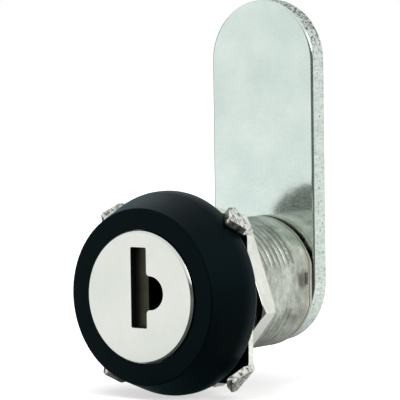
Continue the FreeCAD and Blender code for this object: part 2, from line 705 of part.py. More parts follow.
def make_wafer(number):
    side = 1 if number % 2 == 0 else -1
    along = s.wafer_start + s.wafer_pitch * number
    body = new_body(f"wafer_{number + 1}")
    radius = s.plug_radius - s.wafer_gap
    round_plate = cross_sketch(body, f"round_{number + 1}", along)
    circle(round_plate, radius)
    pad_back(body, round_plate, s.wafer_sheet)

    half = s.wafer_width / 2
    lug = half + s.lug_length - s.wafer_gap
    past = s.plug_radius + CLEAR
    trim = cross_sketch(body, f"trim_{number + 1}", along)
    outline(trim, [
        (half * side, past * -side), (past * side, past * -side),
        (past * side, past * side), (half * side, past * side),
    ])
    lug_low = s.lug_up * side
    lug_high = (s.lug_up + s.lug_height) * side
    outline(trim, [
        (half * -side, past * side), (past * -side, past * side), (past * -side, past * -side),
        (half * -side, past * -side), (half * -side, lug_low), (lug * -side, lug_low),
        (lug * -side, lug_high), (half * -side, lug_high),
    ])
    cut_back(body, trim, s.wafer_sheet)

    window = cross_sketch(body, f"window_{number + 1}", along)
    shift = WINDOW_SHIFTS[number]
    rectangle(
        window, SLOT_LEFT - s.window_gap, SLOT_RIGHT + s.window_gap,
        shift - s.window_height / 2, shift + s.window_height / 2,
    )
    cut_back(body, window, s.wafer_sheet)


def make_wafer_springs():
    springs = []
    pocket_middle = (s.wafer_width / 2 + s.wafer_gap + s.lug_length / 2).number
    for number in range(WAFER_COUNT):
        side = 1 if number % 2 == 0 else -1
        spring = coil_spring(s.wafer_spring_radius.number, s.wire.number, s.wafer_spring_length.number)
        spring.translate(Vector(0, 0, (s.lug_up - s.wafer_spring_length).number))
        if side < 0:
            spring.rotate(Vector(0, 0, 0), Vector(0, 1, 0), 180)
        along = (s.wafer_start + s.wafer_pitch * number + s.wafer_sheet / 2).number
        spring.translate(Vector(-side * pocket_middle, along, 0))
        springs.append(spring)
    place_shape("wafer_springs", Part.makeCompound(springs))


# Sprung catch that holds the plug in the barrel

def make_catch():
    body = new_body("plug_catch")
    sketch = new_sketch(body, "catch_outline", "XZ_Plane", offset=-CATCH_START)
    rectangle(sketch, s.catch_tip - s.catch_length, s.catch_tip, CATCH_LOW, CATCH_HIGH)
    pad_back(body, sketch, s.catch_sheet)

    length = (s.catch_tip - s.catch_length - s.catch_pocket).number
    spring = coil_spring(s.catch_spring_radius.number, s.wire.number, length)
    spring.rotate(Vector(0, 0, 0), Vector(0, 1, 0), 90)
    middle = (CATCH_START + s.catch_sheet / 2).number
    spring.translate(Vector(s.catch_pocket.number, middle, s.catch_up.number))
    place_shape("catch_spring", spring)


# Spur washer: square sheet with its four corners bent forward into spurs

def make_spur_washer():
    body = new_body("spur_washer")
    body.Placement = Placement(Vector(0, 0, -s.washer_drop.number), Rotation())
    body.setExpression("Placement.Base.z", (-s.washer_drop).text)
    half = WASHER_SIDE
    cut = SPUR_ROOT * root_of(as_size(2)) - half
    plate = cross_sketch(body, "washer_plate", s.washer_back)
    outline(plate, [
        (half, -cut), (half, cut), (cut, half), (-cut, half),
        (-half, cut), (-half, -cut), (-cut, -half), (cut, -half),
    ])
    pad_back(body, plate, s.washer_sheet)

    # side view of one spur before its bends are rounded
    profile = side_sketch(body, "spur_side", turned=as_size(45))
    slant = root_of(s.spur_flare * s.spur_flare + 1)
    across = s.washer_sheet / slant
    rise = s.washer_sheet * s.spur_flare / slant
    tip_out = SPUR_ROOT + s.spur_flare * s.spur_reach
    tip_along = s.washer_back - s.spur_reach
    back_out = SPUR_ROOT + across - s.spur_flare * (s.washer_sheet - rise)
    outline(profile, [
        (SPUR_ROOT - s.washer_sheet, s.washer_back), (SPUR_ROOT, s.washer_back),
        (tip_out, tip_along), (tip_out + across, tip_along + rise),
        (back_out, WASHER_BACK), (SPUR_ROOT - s.washer_sheet, WASHER_BACK),
    ])
    spur = extrude("Pad", body, profile, s.spur_width, both_ways=True)
    ring = body.newObject("PartDesign::PolarPattern", "spur_ring")
    ring.Originals = [spur]
    ring.Axis = (origin_part(body, "Y_Axis"), [""])
    ring.Angle = 360
    ring.Occurrences = 4
    body.Tip = ring

    hole = cross_sketch(body, "washer_hole", s.washer_back)
    circle(hole, s.thread_radius + s.washer_gap)
    cut_back(body, hole, s.washer_sheet)

    # two straight lips in the hole stand on the barrel's flats, so that the washer can't turn
    lips = cross_sketch(body, "washer_lips", s.washer_back)
    inner = FLAT_SIDE + s.lip_gap
    outer = s.thread_radius + s.washer_gap * 2
    lip_half = s.thread_radius * 0.3
    rectangle(lips, inner, outer, -lip_half, lip_half)
    rectangle(lips, -outer, -inner, -lip_half, lip_half)
    lipped = pad_back(body, lips, s.washer_sheet)

    def across_spur(edge, out, along):
        """True for a straight edge from side to side of a spur, at this radius and place."""
        if not isinstance(edge.Curve, Part.Line) or abs(edge.Length - s.spur_width.number) > 1e-3:
            return False
        middle = edge.CenterOfMass
        near = abs(math.hypot(middle.x, middle.z) - out.number) < 1e-3
        return near and abs(middle.y - along.number) < 1e-3

    def at_tip(edge):
        middle = edge.CenterOfMass
        short = abs(edge.Length - s.washer_sheet.number) < 1e-3
        return short and abs(middle.y - (tip_along + rise / 2).number) < 1e-3

    inside = dress("Fillet", body, lipped, lambda edge: across_spur(edge, SPUR_ROOT, s.washer_back), s.spur_bend)
    outside = dress(
        "Fillet", body, inside,
        lambda edge: across_spur(edge, back_out, WASHER_BACK), s.spur_bend + s.washer_sheet,
    )
    dress("Chamfer", body, outside, at_tip, (s.spur_width - s.spur_point) / 2)


# Thin hex nut

def make_hex_nut():
    body = new_body("hex_nut")
    across = (s.thread_radius + s.nut_wall) * 2
    corner = across / root_of(as_size(3))
    blank = cross_sketch(body, "nut_blank", WASHER_BACK)
    circle(blank, corner)
    pad_back(body, blank, s.nut_height)

    bevel = side_sketch(body, "nut_bevels")
    back = WASHER_BACK + s.nut_height
    outline(bevel, [
        (corner - s.nut_bevel_in, WASHER_BACK), (corner + CLEAR, WASHER_BACK),
        (corner, WASHER_BACK + s.nut_bevel),
    ])
    outline(bevel, [
        (corner - s.nut_bevel_in, back), (corner, back - s.nut_bevel), (corner + CLEAR, back),
    ])
    revolve("Groove", body, bevel)

    # one straight side, cut and repeated round the nut
    side = new_sketch(body, "nut_side", "XZ_Plane", offset=-WASHER_BACK)
    side.AttachmentOffset = Placement(Vector(0, 0, -WASHER_BACK.number), Rotation(Vector(0, 0, 1), 0))
    side.setExpression("AttachmentOffset.Rotation.Angle", (as_size(30) - s.nut_turn).text)
    rectangle(side, across / 2, corner + CLEAR * 2, -corner, corner)
    flat = cut_back(body, side, s.nut_height)
    sides = body.newObject("PartDesign::PolarPattern", "nut_sides")
    sides.Originals = [flat]
    sides.Axis = (origin_part(body, "Y_Axis"), [""])
    sides.Angle = 360
    sides.Occurrences = 6
    body.Tip = sides

    bore = cross_sketch(body, "nut_bore", WASHER_BACK)
    circle(bore, s.thread_radius + s.turn_gap)
    cut_back(body, bore, s.nut_height)


# Cam and what holds it on the plug's tail

def make_cam():
    body = new_body("cam")
    strap = cross_sketch(body, "cam_outline", CAM_FRONT)
    obround(strap, CAM_SIDE, s.cam_reach)
    blank = pad_back(body, strap, s.cam_sheet)
    hole = cross_sketch(body, "cam_hole", CAM_FRONT)
    half = s.tail_side / 2 + s.cam_hole_gap
    rectangle(hole, -half, half, -half, half)
    pierced = cut_back(body, hole, s.cam_sheet)

    def front_rim(edge):
        on_front = all(abs(vertex.Point.y - CAM_FRONT.number) < 1e-4 for vertex in edge.Vertexes)
        far = max(abs(edge.CenterOfMass.x), abs(edge.CenterOfMass.z)) > half.number + 0.1
        return on_front and far

    dress("Chamfer", body, pierced, front_rim, s.cam_bevel)


def ring_piece(name, along, inner, outer, thick):
    body = new_body(name)
    sketch = cross_sketch(body, f"{name}_ring", along)
    circle(sketch, outer)
    circle(sketch, inner)
    pad_back(body, sketch, thick)
    return body


def make_cam_fixing():
    hole = s.screw_radius + s.screw_hole_gap
    ring_piece("cam_washer", CAM_BACK, hole, CAM_SIDE - s.plain_washer_inset, s.plain_washer_sheet)
    split = ring_piece("spring_washer", PLAIN_WASHER_BACK, hole, s.spring_washer_radius, s.spring_washer_sheet)
    gap = cross_sketch(split, "split", PLAIN_WASHER_BACK)
    half = s.spring_washer_cut / 2
    rectangle(gap, -half, half, -(s.spring_washer_radius + CLEAR), 0)
    cut_back(split, gap, s.spring_washer_sheet)

    body = new_body("cam_screw")
    head_back = SCREW_SEAT + s.screw_head_height
    tip = SCREW_SEAT - s.screw_length
    sketch = side_sketch(body, "screw_profile")
    outline(sketch, [
        (0, tip), (s.screw_radius, tip), (s.screw_radius, SCREW_SEAT),
        (s.screw_head_radius, SCREW_SEAT), (s.screw_head_radius, head_back), (0, head_back),
    ])
    turned = revolve("Revolution", body, sketch)
    dress(
        "Chamfer", body, turned,
        lambda edge: is_ring(edge, s.screw_head_radius, head_back), s.screw_head_bevel,
    )
    cross = cross_sketch(body, "cross_recess", head_back)
    long = s.recess_span / 2
    thin = s.recess_width / 2
    outline(cross, [
        (long, -thin), (long, thin), (thin, thin), (thin, long), (-thin, long), (-thin, thin),
        (-long, thin), (-long, -thin), (-thin, -thin), (-thin, -long), (thin, -long), (thin, -thin),
    ])
    extrude("Pocket", body, cross, s.cross_depth, reverse=True)


def check_document():
    """Stop if a feature failed, or if one that should add or remove material didn't."""
    doc.recompute()
    removing = ("PartDesign::Pocket", "PartDesign::Groove")
    adding = ("PartDesign::Pad", "PartDesign::Revolution")
    for item in doc.Objects:
        if "Invalid" in item.State or "Error" in item.State:
            raise RuntimeError(f"{item.Name} failed: {item.State}")
        base = getattr(item, "BaseFeature", None)
        if base is None or item.TypeId not in removing + adding:
            continue
        change = item.Shape.Volume - base.Shape.Volume
        if (item.TypeId in removing) != (change < 0) or abs(change) < 1e-6:
            raise RuntimeError(f"{item.Name} changed the volume by {change:.6f}")


def pieces():
    """The lock's pieces: the bodies and the labelled plain shapes."""
    kinds = ("PartDesign::Body", "Part::Feature", "Part::Cylinder")
    return [item for item in doc.Objects if item.TypeId in kinds]


def write_pieces():
    for piece in pieces():
        shape = piece.Shape
        if shape.isNull() or not shape.isValid():
            raise RuntimeError(f"{piece.Label} has no valid shape")
        shape.exportStep(os.path.join("parts", f"{piece.Label}.step"))
        print(f"{piece.Label}: {len(shape.Solids)} solid, {shape.Volume:.2f} mm3")


make_head_collar()
make_lock_body()
make_plug()
make_plug_face()
make_shutter()
for wafer_number in range(WAFER_COUNT):
    make_wafer(wafer_number)
make_wafer_springs()
make_catch()
make_spur_washer()
make_hex_nut()
make_cam()
make_cam_fixing()
check_document()
write_pieces()
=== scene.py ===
"""Looks of a cam lock for a furniture door: its pieces, finishes, studio and camera.

Sizes in the code are in metres unless a name ends in _mm. The barrel lies along Y with the key at -Y,
and the cam stands up along Z. The door's front would be at Y 0.
"""

import math

import bmesh
import bpy
from mathutils import Matrix, Vector


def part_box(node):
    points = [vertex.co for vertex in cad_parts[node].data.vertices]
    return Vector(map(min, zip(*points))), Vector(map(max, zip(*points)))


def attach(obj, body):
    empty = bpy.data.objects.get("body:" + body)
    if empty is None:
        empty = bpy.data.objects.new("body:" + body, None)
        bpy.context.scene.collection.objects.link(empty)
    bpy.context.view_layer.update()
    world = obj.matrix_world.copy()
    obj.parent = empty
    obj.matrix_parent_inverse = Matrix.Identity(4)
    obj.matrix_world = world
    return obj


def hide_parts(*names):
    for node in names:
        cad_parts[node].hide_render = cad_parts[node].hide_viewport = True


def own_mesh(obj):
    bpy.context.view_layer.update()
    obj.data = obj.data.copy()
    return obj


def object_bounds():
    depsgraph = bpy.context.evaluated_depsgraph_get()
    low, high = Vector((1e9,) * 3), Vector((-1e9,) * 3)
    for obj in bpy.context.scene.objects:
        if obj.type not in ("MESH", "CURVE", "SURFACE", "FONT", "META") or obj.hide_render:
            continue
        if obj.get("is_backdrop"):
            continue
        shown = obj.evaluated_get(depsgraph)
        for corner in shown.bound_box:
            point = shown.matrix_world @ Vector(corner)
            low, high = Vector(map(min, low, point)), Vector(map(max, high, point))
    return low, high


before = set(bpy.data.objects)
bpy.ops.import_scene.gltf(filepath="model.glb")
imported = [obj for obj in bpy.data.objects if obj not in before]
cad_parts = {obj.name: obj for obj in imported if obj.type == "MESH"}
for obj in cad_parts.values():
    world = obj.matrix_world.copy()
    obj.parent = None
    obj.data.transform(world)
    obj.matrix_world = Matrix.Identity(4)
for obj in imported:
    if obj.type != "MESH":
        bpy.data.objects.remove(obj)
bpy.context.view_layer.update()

bl_info = {
    "name": "Cam lock",
    "version": (1, 0, 0),
    "blender": (4, 5, 0),
    "location": "3D Viewport > Sidebar > Cam lock",
    "description": "Models a furniture cam lock, its metal and plastic finishes and its studio",
    "category": "Object",
}

MM = 0.001
# points nearer than this are one point
MERGE = 0.0005 * MM
# edges nearer than this to a plane lie on it
TOUCH = 0.001 * MM
# stands a flat circle up, so that it faces along the barrel
UPRIGHT = (math.pi / 2, 0, 0)

# a Mix node for colours takes its share at input 0 and its colours at 6 and 7, and gives output 2
SHARE, FROM, TO = 0, 6, 7
MIXED = {"out": 2, "data_type": "RGBA"}
# nearly all values of a noise texture lie between these
NOISE = {"From Min": 0.35, "From Max": 0.65}


def linear(code):
    """An sRGB hex colour as linear red, green, blue and full alpha."""
    parts = [int(code[at:at + 2], 16) / 255 for at in (1, 3, 5)]
    return [p / 12.92 if p <= 0.04045 else ((p + 0.055) / 1.055) ** 2.4 for p in parts] + [1.0]


def length(name, description, value_mm):
    """A length property with its default in millimetres."""
    return bpy.props.FloatProperty(
        name=name, description=description, default=value_mm * MM, min=0, precision=5, unit="LENGTH"
    )


def colour(name, description, code):
    """A colour property with its default as an sRGB hex colour."""
    return bpy.props.FloatVectorProperty(
        name=name, description=description, default=linear(code), size=4, min=0, max=1, subtype="COLOR"
    )


class LOCK_PG_sizes(bpy.types.PropertyGroup):
    """Sizes of what the solids leave plain."""

    collar_front: length("Collar front round", "Round between the collar's face and its cone", 0.14)
    collar_rear: length("Collar rear round", "Round on the collar's edge beside the door", 0.85)
    collar_step: length("Collar cone blend", "Soft change from the cone to the straight band", 0.6)
    thread_pitch: length("Thread pitch", "Turn to turn of the barrel's thread", 1.0)
    thread_fade: length("Thread fade", "How much shallower the worn thread is at its far end", 0.16)
    thread_depth: length("Thread depth", "Depth of the barrel's worn thread beside the door", 0.28)
    cam_roll: length("Cam roll", "Rolled edge on the cam's front", 0.36)
    cam_back: length("Cam back edge", "Broken edge on the cam's back", 0.12)
    punched_edge: length("Punched edge", "Round on the edges of punched sheet", 0.13)
    nut_edge: length("Nut edge", "Round on the nut's edges", 0.12)
    wire: length("Spring wire", "Diameter of the springs' wire", 0.16)
    catch_travel: length("Catch travel", "How far the pushed catch shortens its spring", 0.9)


class LOCK_PG_colours(bpy.types.PropertyGroup):
    """Colours of the lock's finishes."""

    plastic: colour("Black plastic", "Moulded collar", "#020506")
    plastic_flow: colour("Plastic flow", "Flow clouds in the moulded collar", "#04080A")
    plastic_shine: colour("Plastic shine", "Tint of the light that the collar throws back", "#74BCCB")
    disc: colour("Bright disc", "Stainless face", "#E7EAE4")
    disc_dull: colour("Dulled disc", "Handled parts of the stainless face", "#DFE4DC")
    # painted shade: the key slot's wall is coloured near-black for the shade in the slot, with paler patches
    slot_shade: colour("Slot wall", "Painted shade on the wall of the key slot", "#070707")
    slot_shade_clouds: colour("Slot shade clouds", "Paler clouds on the wall of the key slot", "#141312")
    cast: colour("Plated casting", "Nickel over the zinc barrel", "#D8DFD2")
    cast_dull: colour("Dull casting", "Grey patches in the barrel's plating", "#83867E")
    cast_brown: colour("Browned casting", "Oil's tint on the barrel's last millimetres", "#B9AD98")
    dimple_shade_tone: colour("Dimple shade", "Painted shade in the barrel's dimple", "#5B5C54")
    # painted shade in the barrel's dimple
    rear_shade_tone: colour("Rear shade", "Painted shade in the barrel's bevel and turned line", "#22221E")
    # painted shade in the barrel's rear bevel and at a turned line
    cam: colour("Zinc plate", "Pale plating on the cam", "#E6F3ED")
    cam_dull: colour("Dull zinc plate", "Clouds in the cam's plating", "#DAE9E3")
    sheared: colour("Sheared edge", "Plated fracture on the cam's side", "#E9F4EC")
    sheared_score: colour("Sheared scores", "Score marks across the cam's side", "#B4C4BC")
    sheared_dark: colour("Sheared pits", "Pits in the cam's sheared side", "#4A504B")
    nickel: colour("Nickel plate", "Spur washer and nut", "#FAFCF5")
    nickel_dull: colour("Dull nickel", "Handled nickel", "#DEE1D7")
    # painted dark reflection and shade, in spots on the spur washer
    dark_spot: colour("Painted dark spots", "Spots on the spur washer", "#4A483E")
    zinc: colour("Raw zinc", "Inside of the plug", "#8F8E88")
    zinc_dull: colour("Dull raw zinc", "Mottling in the plug's zinc", "#6F6E69")
    # painted shade on the key side of the plug, where the keyway lies deep in shadow
    zinc_shade: colour("Zinc in painted shade", "Painted shade on the key side of the plug", "#0D0C0B")
    shutter: colour("Spring steel", "Dust shutter", "#626152")
    shutter_dull: colour("Dull spring steel", "Darker streaks on the dust shutter", "#4F4E41")
    wire: colour("Spring wire", "Drawn steel springs", "#A3A39D")
    wire_dull: colour("Dull spring wire", "Greyer parts of the springs", "#7C7C77")
    brass: colour("Brass", "Punched wafers", "#C9A458")
    brass_dull: colour("Tarnished brass", "Tarnish on the wafers", "#A07F3C")
    fixing: colour("Plated fixing", "Cam screw and its washers", "#CDD3CF")
    fixing_dull: colour("Dull fixing", "Greyer parts of the screw and its washers", "#A5ACA8")


def sizes():
    """The sizes in the sidebar."""
    return bpy.context.scene.lock_sizes


def colours():
    """The colours in the sidebar."""
    return bpy.context.scene.lock_colours


# Modelling by hand in edit mode


def put_down():
    """Leave edit mode and deselect everything."""
    if bpy.context.object and bpy.context.object.mode != "OBJECT":
        bpy.ops.object.mode_set(mode="OBJECT")
    bpy.ops.object.select_all(action="DESELECT")


def pick(piece):
    """Select one piece and nothing else."""
    put_down()
    piece.select_set(True)
    bpy.context.view_layer.objects.active = piece


def take(piece):
    """Select one piece and go into edit mode on it."""
    pick(piece)
    bpy.ops.object.mode_set(mode="EDIT")


def choose(piece, kind, wanted):
    """In edit mode, select the edges or faces that pass a test."""
    bpy.ops.mesh.select_all(action="DESELECT")
    bpy.ops.mesh.select_mode(type=kind)
    mesh = bmesh.from_edit_mesh(piece.data)
    items = mesh.edges if kind == "EDGE" else mesh.faces
    found = [item for item in items if wanted(item)]
    if not found:
        raise RuntimeError(f"{piece.name}: nothing to select")
    for item in found:
        item.select_set(True)
    mesh.select_flush_mode()
    bmesh.update_edit_mesh(piece.data)


def face_outwards():
    """In edit mode, turn every face outwards."""
    bpy.ops.mesh.select_all(action="SELECT")
    bpy.ops.mesh.normals_make_consistent(inside=False)


def cap_ends(piece):
    """Close the open ends of a wound shape."""
    take(piece)
    bpy.ops.mesh.select_all(action="SELECT")
    bpy.ops.mesh.fill_holes(sides=0)
    face_outwards()
    put_down()


def close_up(piece):
    """Merge doubles and turn every face outwards."""
    take(piece)
    bpy.ops.mesh.select_all(action="SELECT")
    bpy.ops.mesh.remove_doubles(threshold=MERGE)
    face_outwards()
    put_down()


def apply_modifier(piece, kind, **settings):
    """Add a modifier with its settings and apply it."""
    pick(piece)
    modifier = piece.modifiers.new(kind.lower(), kind)
    for name, value in settings.items():
        setattr(modifier, name, value)
    bpy.ops.object.modifier_apply(modifier=modifier.name)


def smooth(piece, degrees=32):
    """Shade rounds smoothly and keep the flats beside them flat."""
    pick(piece)
    bpy.ops.object.shade_smooth_by_angle(angle=math.radians(degrees))
    apply_modifier(piece, "WEIGHTED_NORMAL", keep_sharp=True)
    put_down()


def radius_of(point):
    """How far a point is from the barrel's axis."""
    return math.hypot(point.x, point.z)


def is_ring(edge, radius_mm, along_mm):
    """True for an edge of a ring about the barrel's axis."""
    near = 0.02 * MM
    return all(
        abs(radius_of(v.co) - radius_mm * MM) < near and abs(v.co.y - along_mm * MM) < near
        for v in edge.verts
    )


def turned(name, profile_mm, steps=144, closed=True):
    """A piece turned about the barrel's axis. Its profile is a list of radius and place along the axis."""
    put_down()
    radius, along = profile_mm[0]
    bpy.ops.mesh.primitive_circle_add(
        vertices=steps, radius=radius * MM, location=(0, along * MM, 0), rotation=UPRIGHT
    )
    piece = bpy.context.object
    piece.name = name
    bpy.ops.object.transform_apply()
    bpy.ops.object.mode_set(mode="EDIT")
    if not closed:
        bpy.ops.mesh.edge_face_add()
    following = profile_mm[1:] + (profile_mm[:1] if closed else [])
    for next_radius, next_along in following:
        step = (0, (next_along - along) * MM, 0)
        bpy.ops.mesh.extrude_region_move(TRANSFORM_OT_translate={"value": step})
        factor = next_radius / radius
        if factor != 1:
            bpy.ops.transform.resize(value=(factor, 1, factor), center_override=(0, next_along * MM, 0))
        radius, along = next_radius, next_along
    put_down()
    close_up(piece)
    return piece


def bevel_where(piece, wanted, width, segments):
    """Round the edges that pass a test."""
    take(piece)
    choose(piece, "EDGE", wanted)
    bpy.ops.mesh.bevel(offset=width, segments=segments, affect="EDGES")
    put_down()


def copied(node, name, edge_width, segments=2, angle=28):
    """A copy of a solid with its triangles merged, its flats joined and its edges rounded."""
    put_down()
    piece = bpy.data.objects.new(name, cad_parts[node].data.copy())
    bpy.context.scene.collection.objects.link(piece)
    take(piece)
    bpy.ops.mesh.select_all(action="SELECT")
    bpy.ops.mesh.remove_doubles(threshold=MERGE)
    bpy.ops.mesh.dissolve_limited(angle_limit=math.radians(0.6))
    put_down()
    if edge_width:
        apply_modifier(
            piece, "BEVEL", width=edge_width, segments=segments, limit_method="ANGLE",
            angle_limit=math.radians(angle), use_clamp_overlap=True,
        )
    return piece


def cut_with(piece, cutter):
    """Take one shape out of another and throw the cutter away."""
    apply_modifier(piece, "BOOLEAN", operation="DIFFERENCE", object=cutter, solver="EXACT")
    bpy.data.objects.remove(cutter)


def dress_piece(piece, body, slot, nodes, *materials):
    """Give a piece its finish, the body it moves with and the solids that it stands for."""
    piece.data.materials.clear()
    for material in materials:
        piece.data.materials.append(material)
    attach(piece, body)
    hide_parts(*nodes)


# Finishes


def add(tree, kind, inputs=None, out=0, **settings):
    """Add a node, set its settings, set or link its inputs, and give one of its outputs."""
    node = tree.nodes.new(kind)
    for name, value in settings.items():
        setattr(node, name, value)
    for name, value in (inputs or {}).items():
        if isinstance(value, bpy.types.NodeSocket):
            tree.links.new(value, node.inputs[name])
        else:
            node.inputs[name].default_value = value
    return node.outputs[out] if node.outputs else None


def blank(name):
    """A new material without nodes, and its node tree."""
    material = bpy.data.materials.new(name)
    material.use_nodes = True
    material.node_tree.nodes.clear()
    return material, material.node_tree


def surfaced(material, tone, rough, looks):
    """The material, with a surface of this colour and roughness and these other looks."""
    shader = add(material.node_tree, "ShaderNodeBsdfPrincipled", {
        "Base Color": tone, "Roughness": rough, **looks,
    })
    add(material.node_tree, "ShaderNodeOutputMaterial", {"Surface": shader})
    return material


def clouds(tree, size_mm, detail=4.0, rough=0.55, stretch=(1, 1, 1), seed=0.0, place=None):
    """A pattern of soft clouds about a size across, longer along the axes with a larger stretch."""
    if place is None:
        place = add(tree, "ShaderNodeTexCoord", out="Object")
    spread = add(tree, "ShaderNodeMapping", {
        "Vector": place, "Location": (seed, seed * 0.7, -seed), "Scale": [1 / s for s in stretch],
    })
    return add(tree, "ShaderNodeTexNoise", {
        "Vector": spread, "Scale": 1 / (size_mm * MM), "Detail": detail, "Roughness": rough,
    })


def black_plastic():
    """Moulded black ABS: very dark, with a broad blue-grey sheen on top and a fine spark-eroded grain."""
    c = colours()
    material, tree = blank("moulded black ABS")
    # flow clouds 6 mm across; the grain is 0.25 mm, coarser than the real 0.05 mm so that it shows
    flow = clouds(tree, 6.0, detail=3)
    grain = clouds(tree, 0.25, detail=2, seed=3)
    flowed = add(tree, "ShaderNodeMapRange", {"Value": flow, **NOISE})
    tone = add(tree, "ShaderNodeMix", {SHARE: flowed, FROM: c.plastic, TO: c.plastic_flow}, **MIXED)
    dulled = add(tree, "ShaderNodeMapRange", {"Value": flow, **NOISE, "To Min": 0.40, "To Max": 0.48})
    grained = add(tree, "ShaderNodeMapRange", {"Value": grain, **NOISE, "To Min": -0.03, "To Max": 0.03})
    rough = add(tree, "ShaderNodeMath", {0: dulled, 1: grained}, operation="ADD")
    bumps = add(tree, "ShaderNodeBump", {"Height": grain, "Distance": 0.008 * MM})
    return surfaced(material, tone, rough, {
        "Normal": bumps, "IOR": 1.53, "Specular IOR Level": 0.1, "Specular Tint": c.plastic_shine,
        "Sheen Weight": 0.24, "Sheen Roughness": 0.35, "Sheen Tint": c.plastic_shine,
    })


def cloudy_metal(name, pale, dull, cloud_mm, grain_mm, shine, depth_mm, stretch=(1, 1, 1)):
    """A metal whose plating clouds slowly, with a finer grain in its shine and its surface.

    The shine is the roughness of its clearest and of its dullest parts.
    """
    material, tree = blank(name)
    cloud = clouds(tree, cloud_mm, detail=5, seed=2)
    grain = clouds(tree, grain_mm, detail=3, stretch=stretch, seed=5)
    clouded = add(tree, "ShaderNodeMapRange", {"Value": cloud, **NOISE, "To Max": 0.75})
    grained = add(tree, "ShaderNodeMapRange", {"Value": grain, **NOISE, "To Max": 0.25})
    share = add(tree, "ShaderNodeMath", {0: clouded, 1: grained}, operation="ADD")
    tone = add(tree, "ShaderNodeMix", {SHARE: share, FROM: pale, TO: dull}, **MIXED)
    rough = add(tree, "ShaderNodeMapRange", {"Value": share, "To Min": shine[0], "To Max": shine[1]})
    bumps = add(tree, "ShaderNodeBump", {"Height": grain, "Distance": depth_mm * MM})
    return surfaced(material, tone, rough, {"Metallic": 1.0, "Normal": bumps})


def bright_stainless():
    """Stainless sheet, mirror rolled and stamped: nearly white, with faint upright rolling lines."""
    c = colours()
    return cloudy_metal(
        "mirror rolled stainless", c.disc, c.disc_dull,
        cloud_mm=7.0, grain_mm=0.5, shine=(0.12, 0.16), depth_mm=0.0004, stretch=(1, 1, 4),
    )


def painted_shade_wall():
    """Painted shade: the wall of a key slot is coloured near-black for the shade that lies in it."""
    c = colours()
    material, tree = blank("painted shade on slot wall")
    # paler patches in the painted shade, in clouds 0.8 mm across
    shade_patches = clouds(tree, 0.8, detail=3)
    tone = add(tree, "ShaderNodeMix", {SHARE: shade_patches, FROM: c.slot_shade, TO: c.slot_shade_clouds}, **MIXED)
    rough = add(tree, "ShaderNodeMapRange", {"Value": shade_patches, **NOISE, "To Min": 0.6, "To Max": 0.8})
    return surfaced(material, tone, rough, {"Specular IOR Level": 0.2})


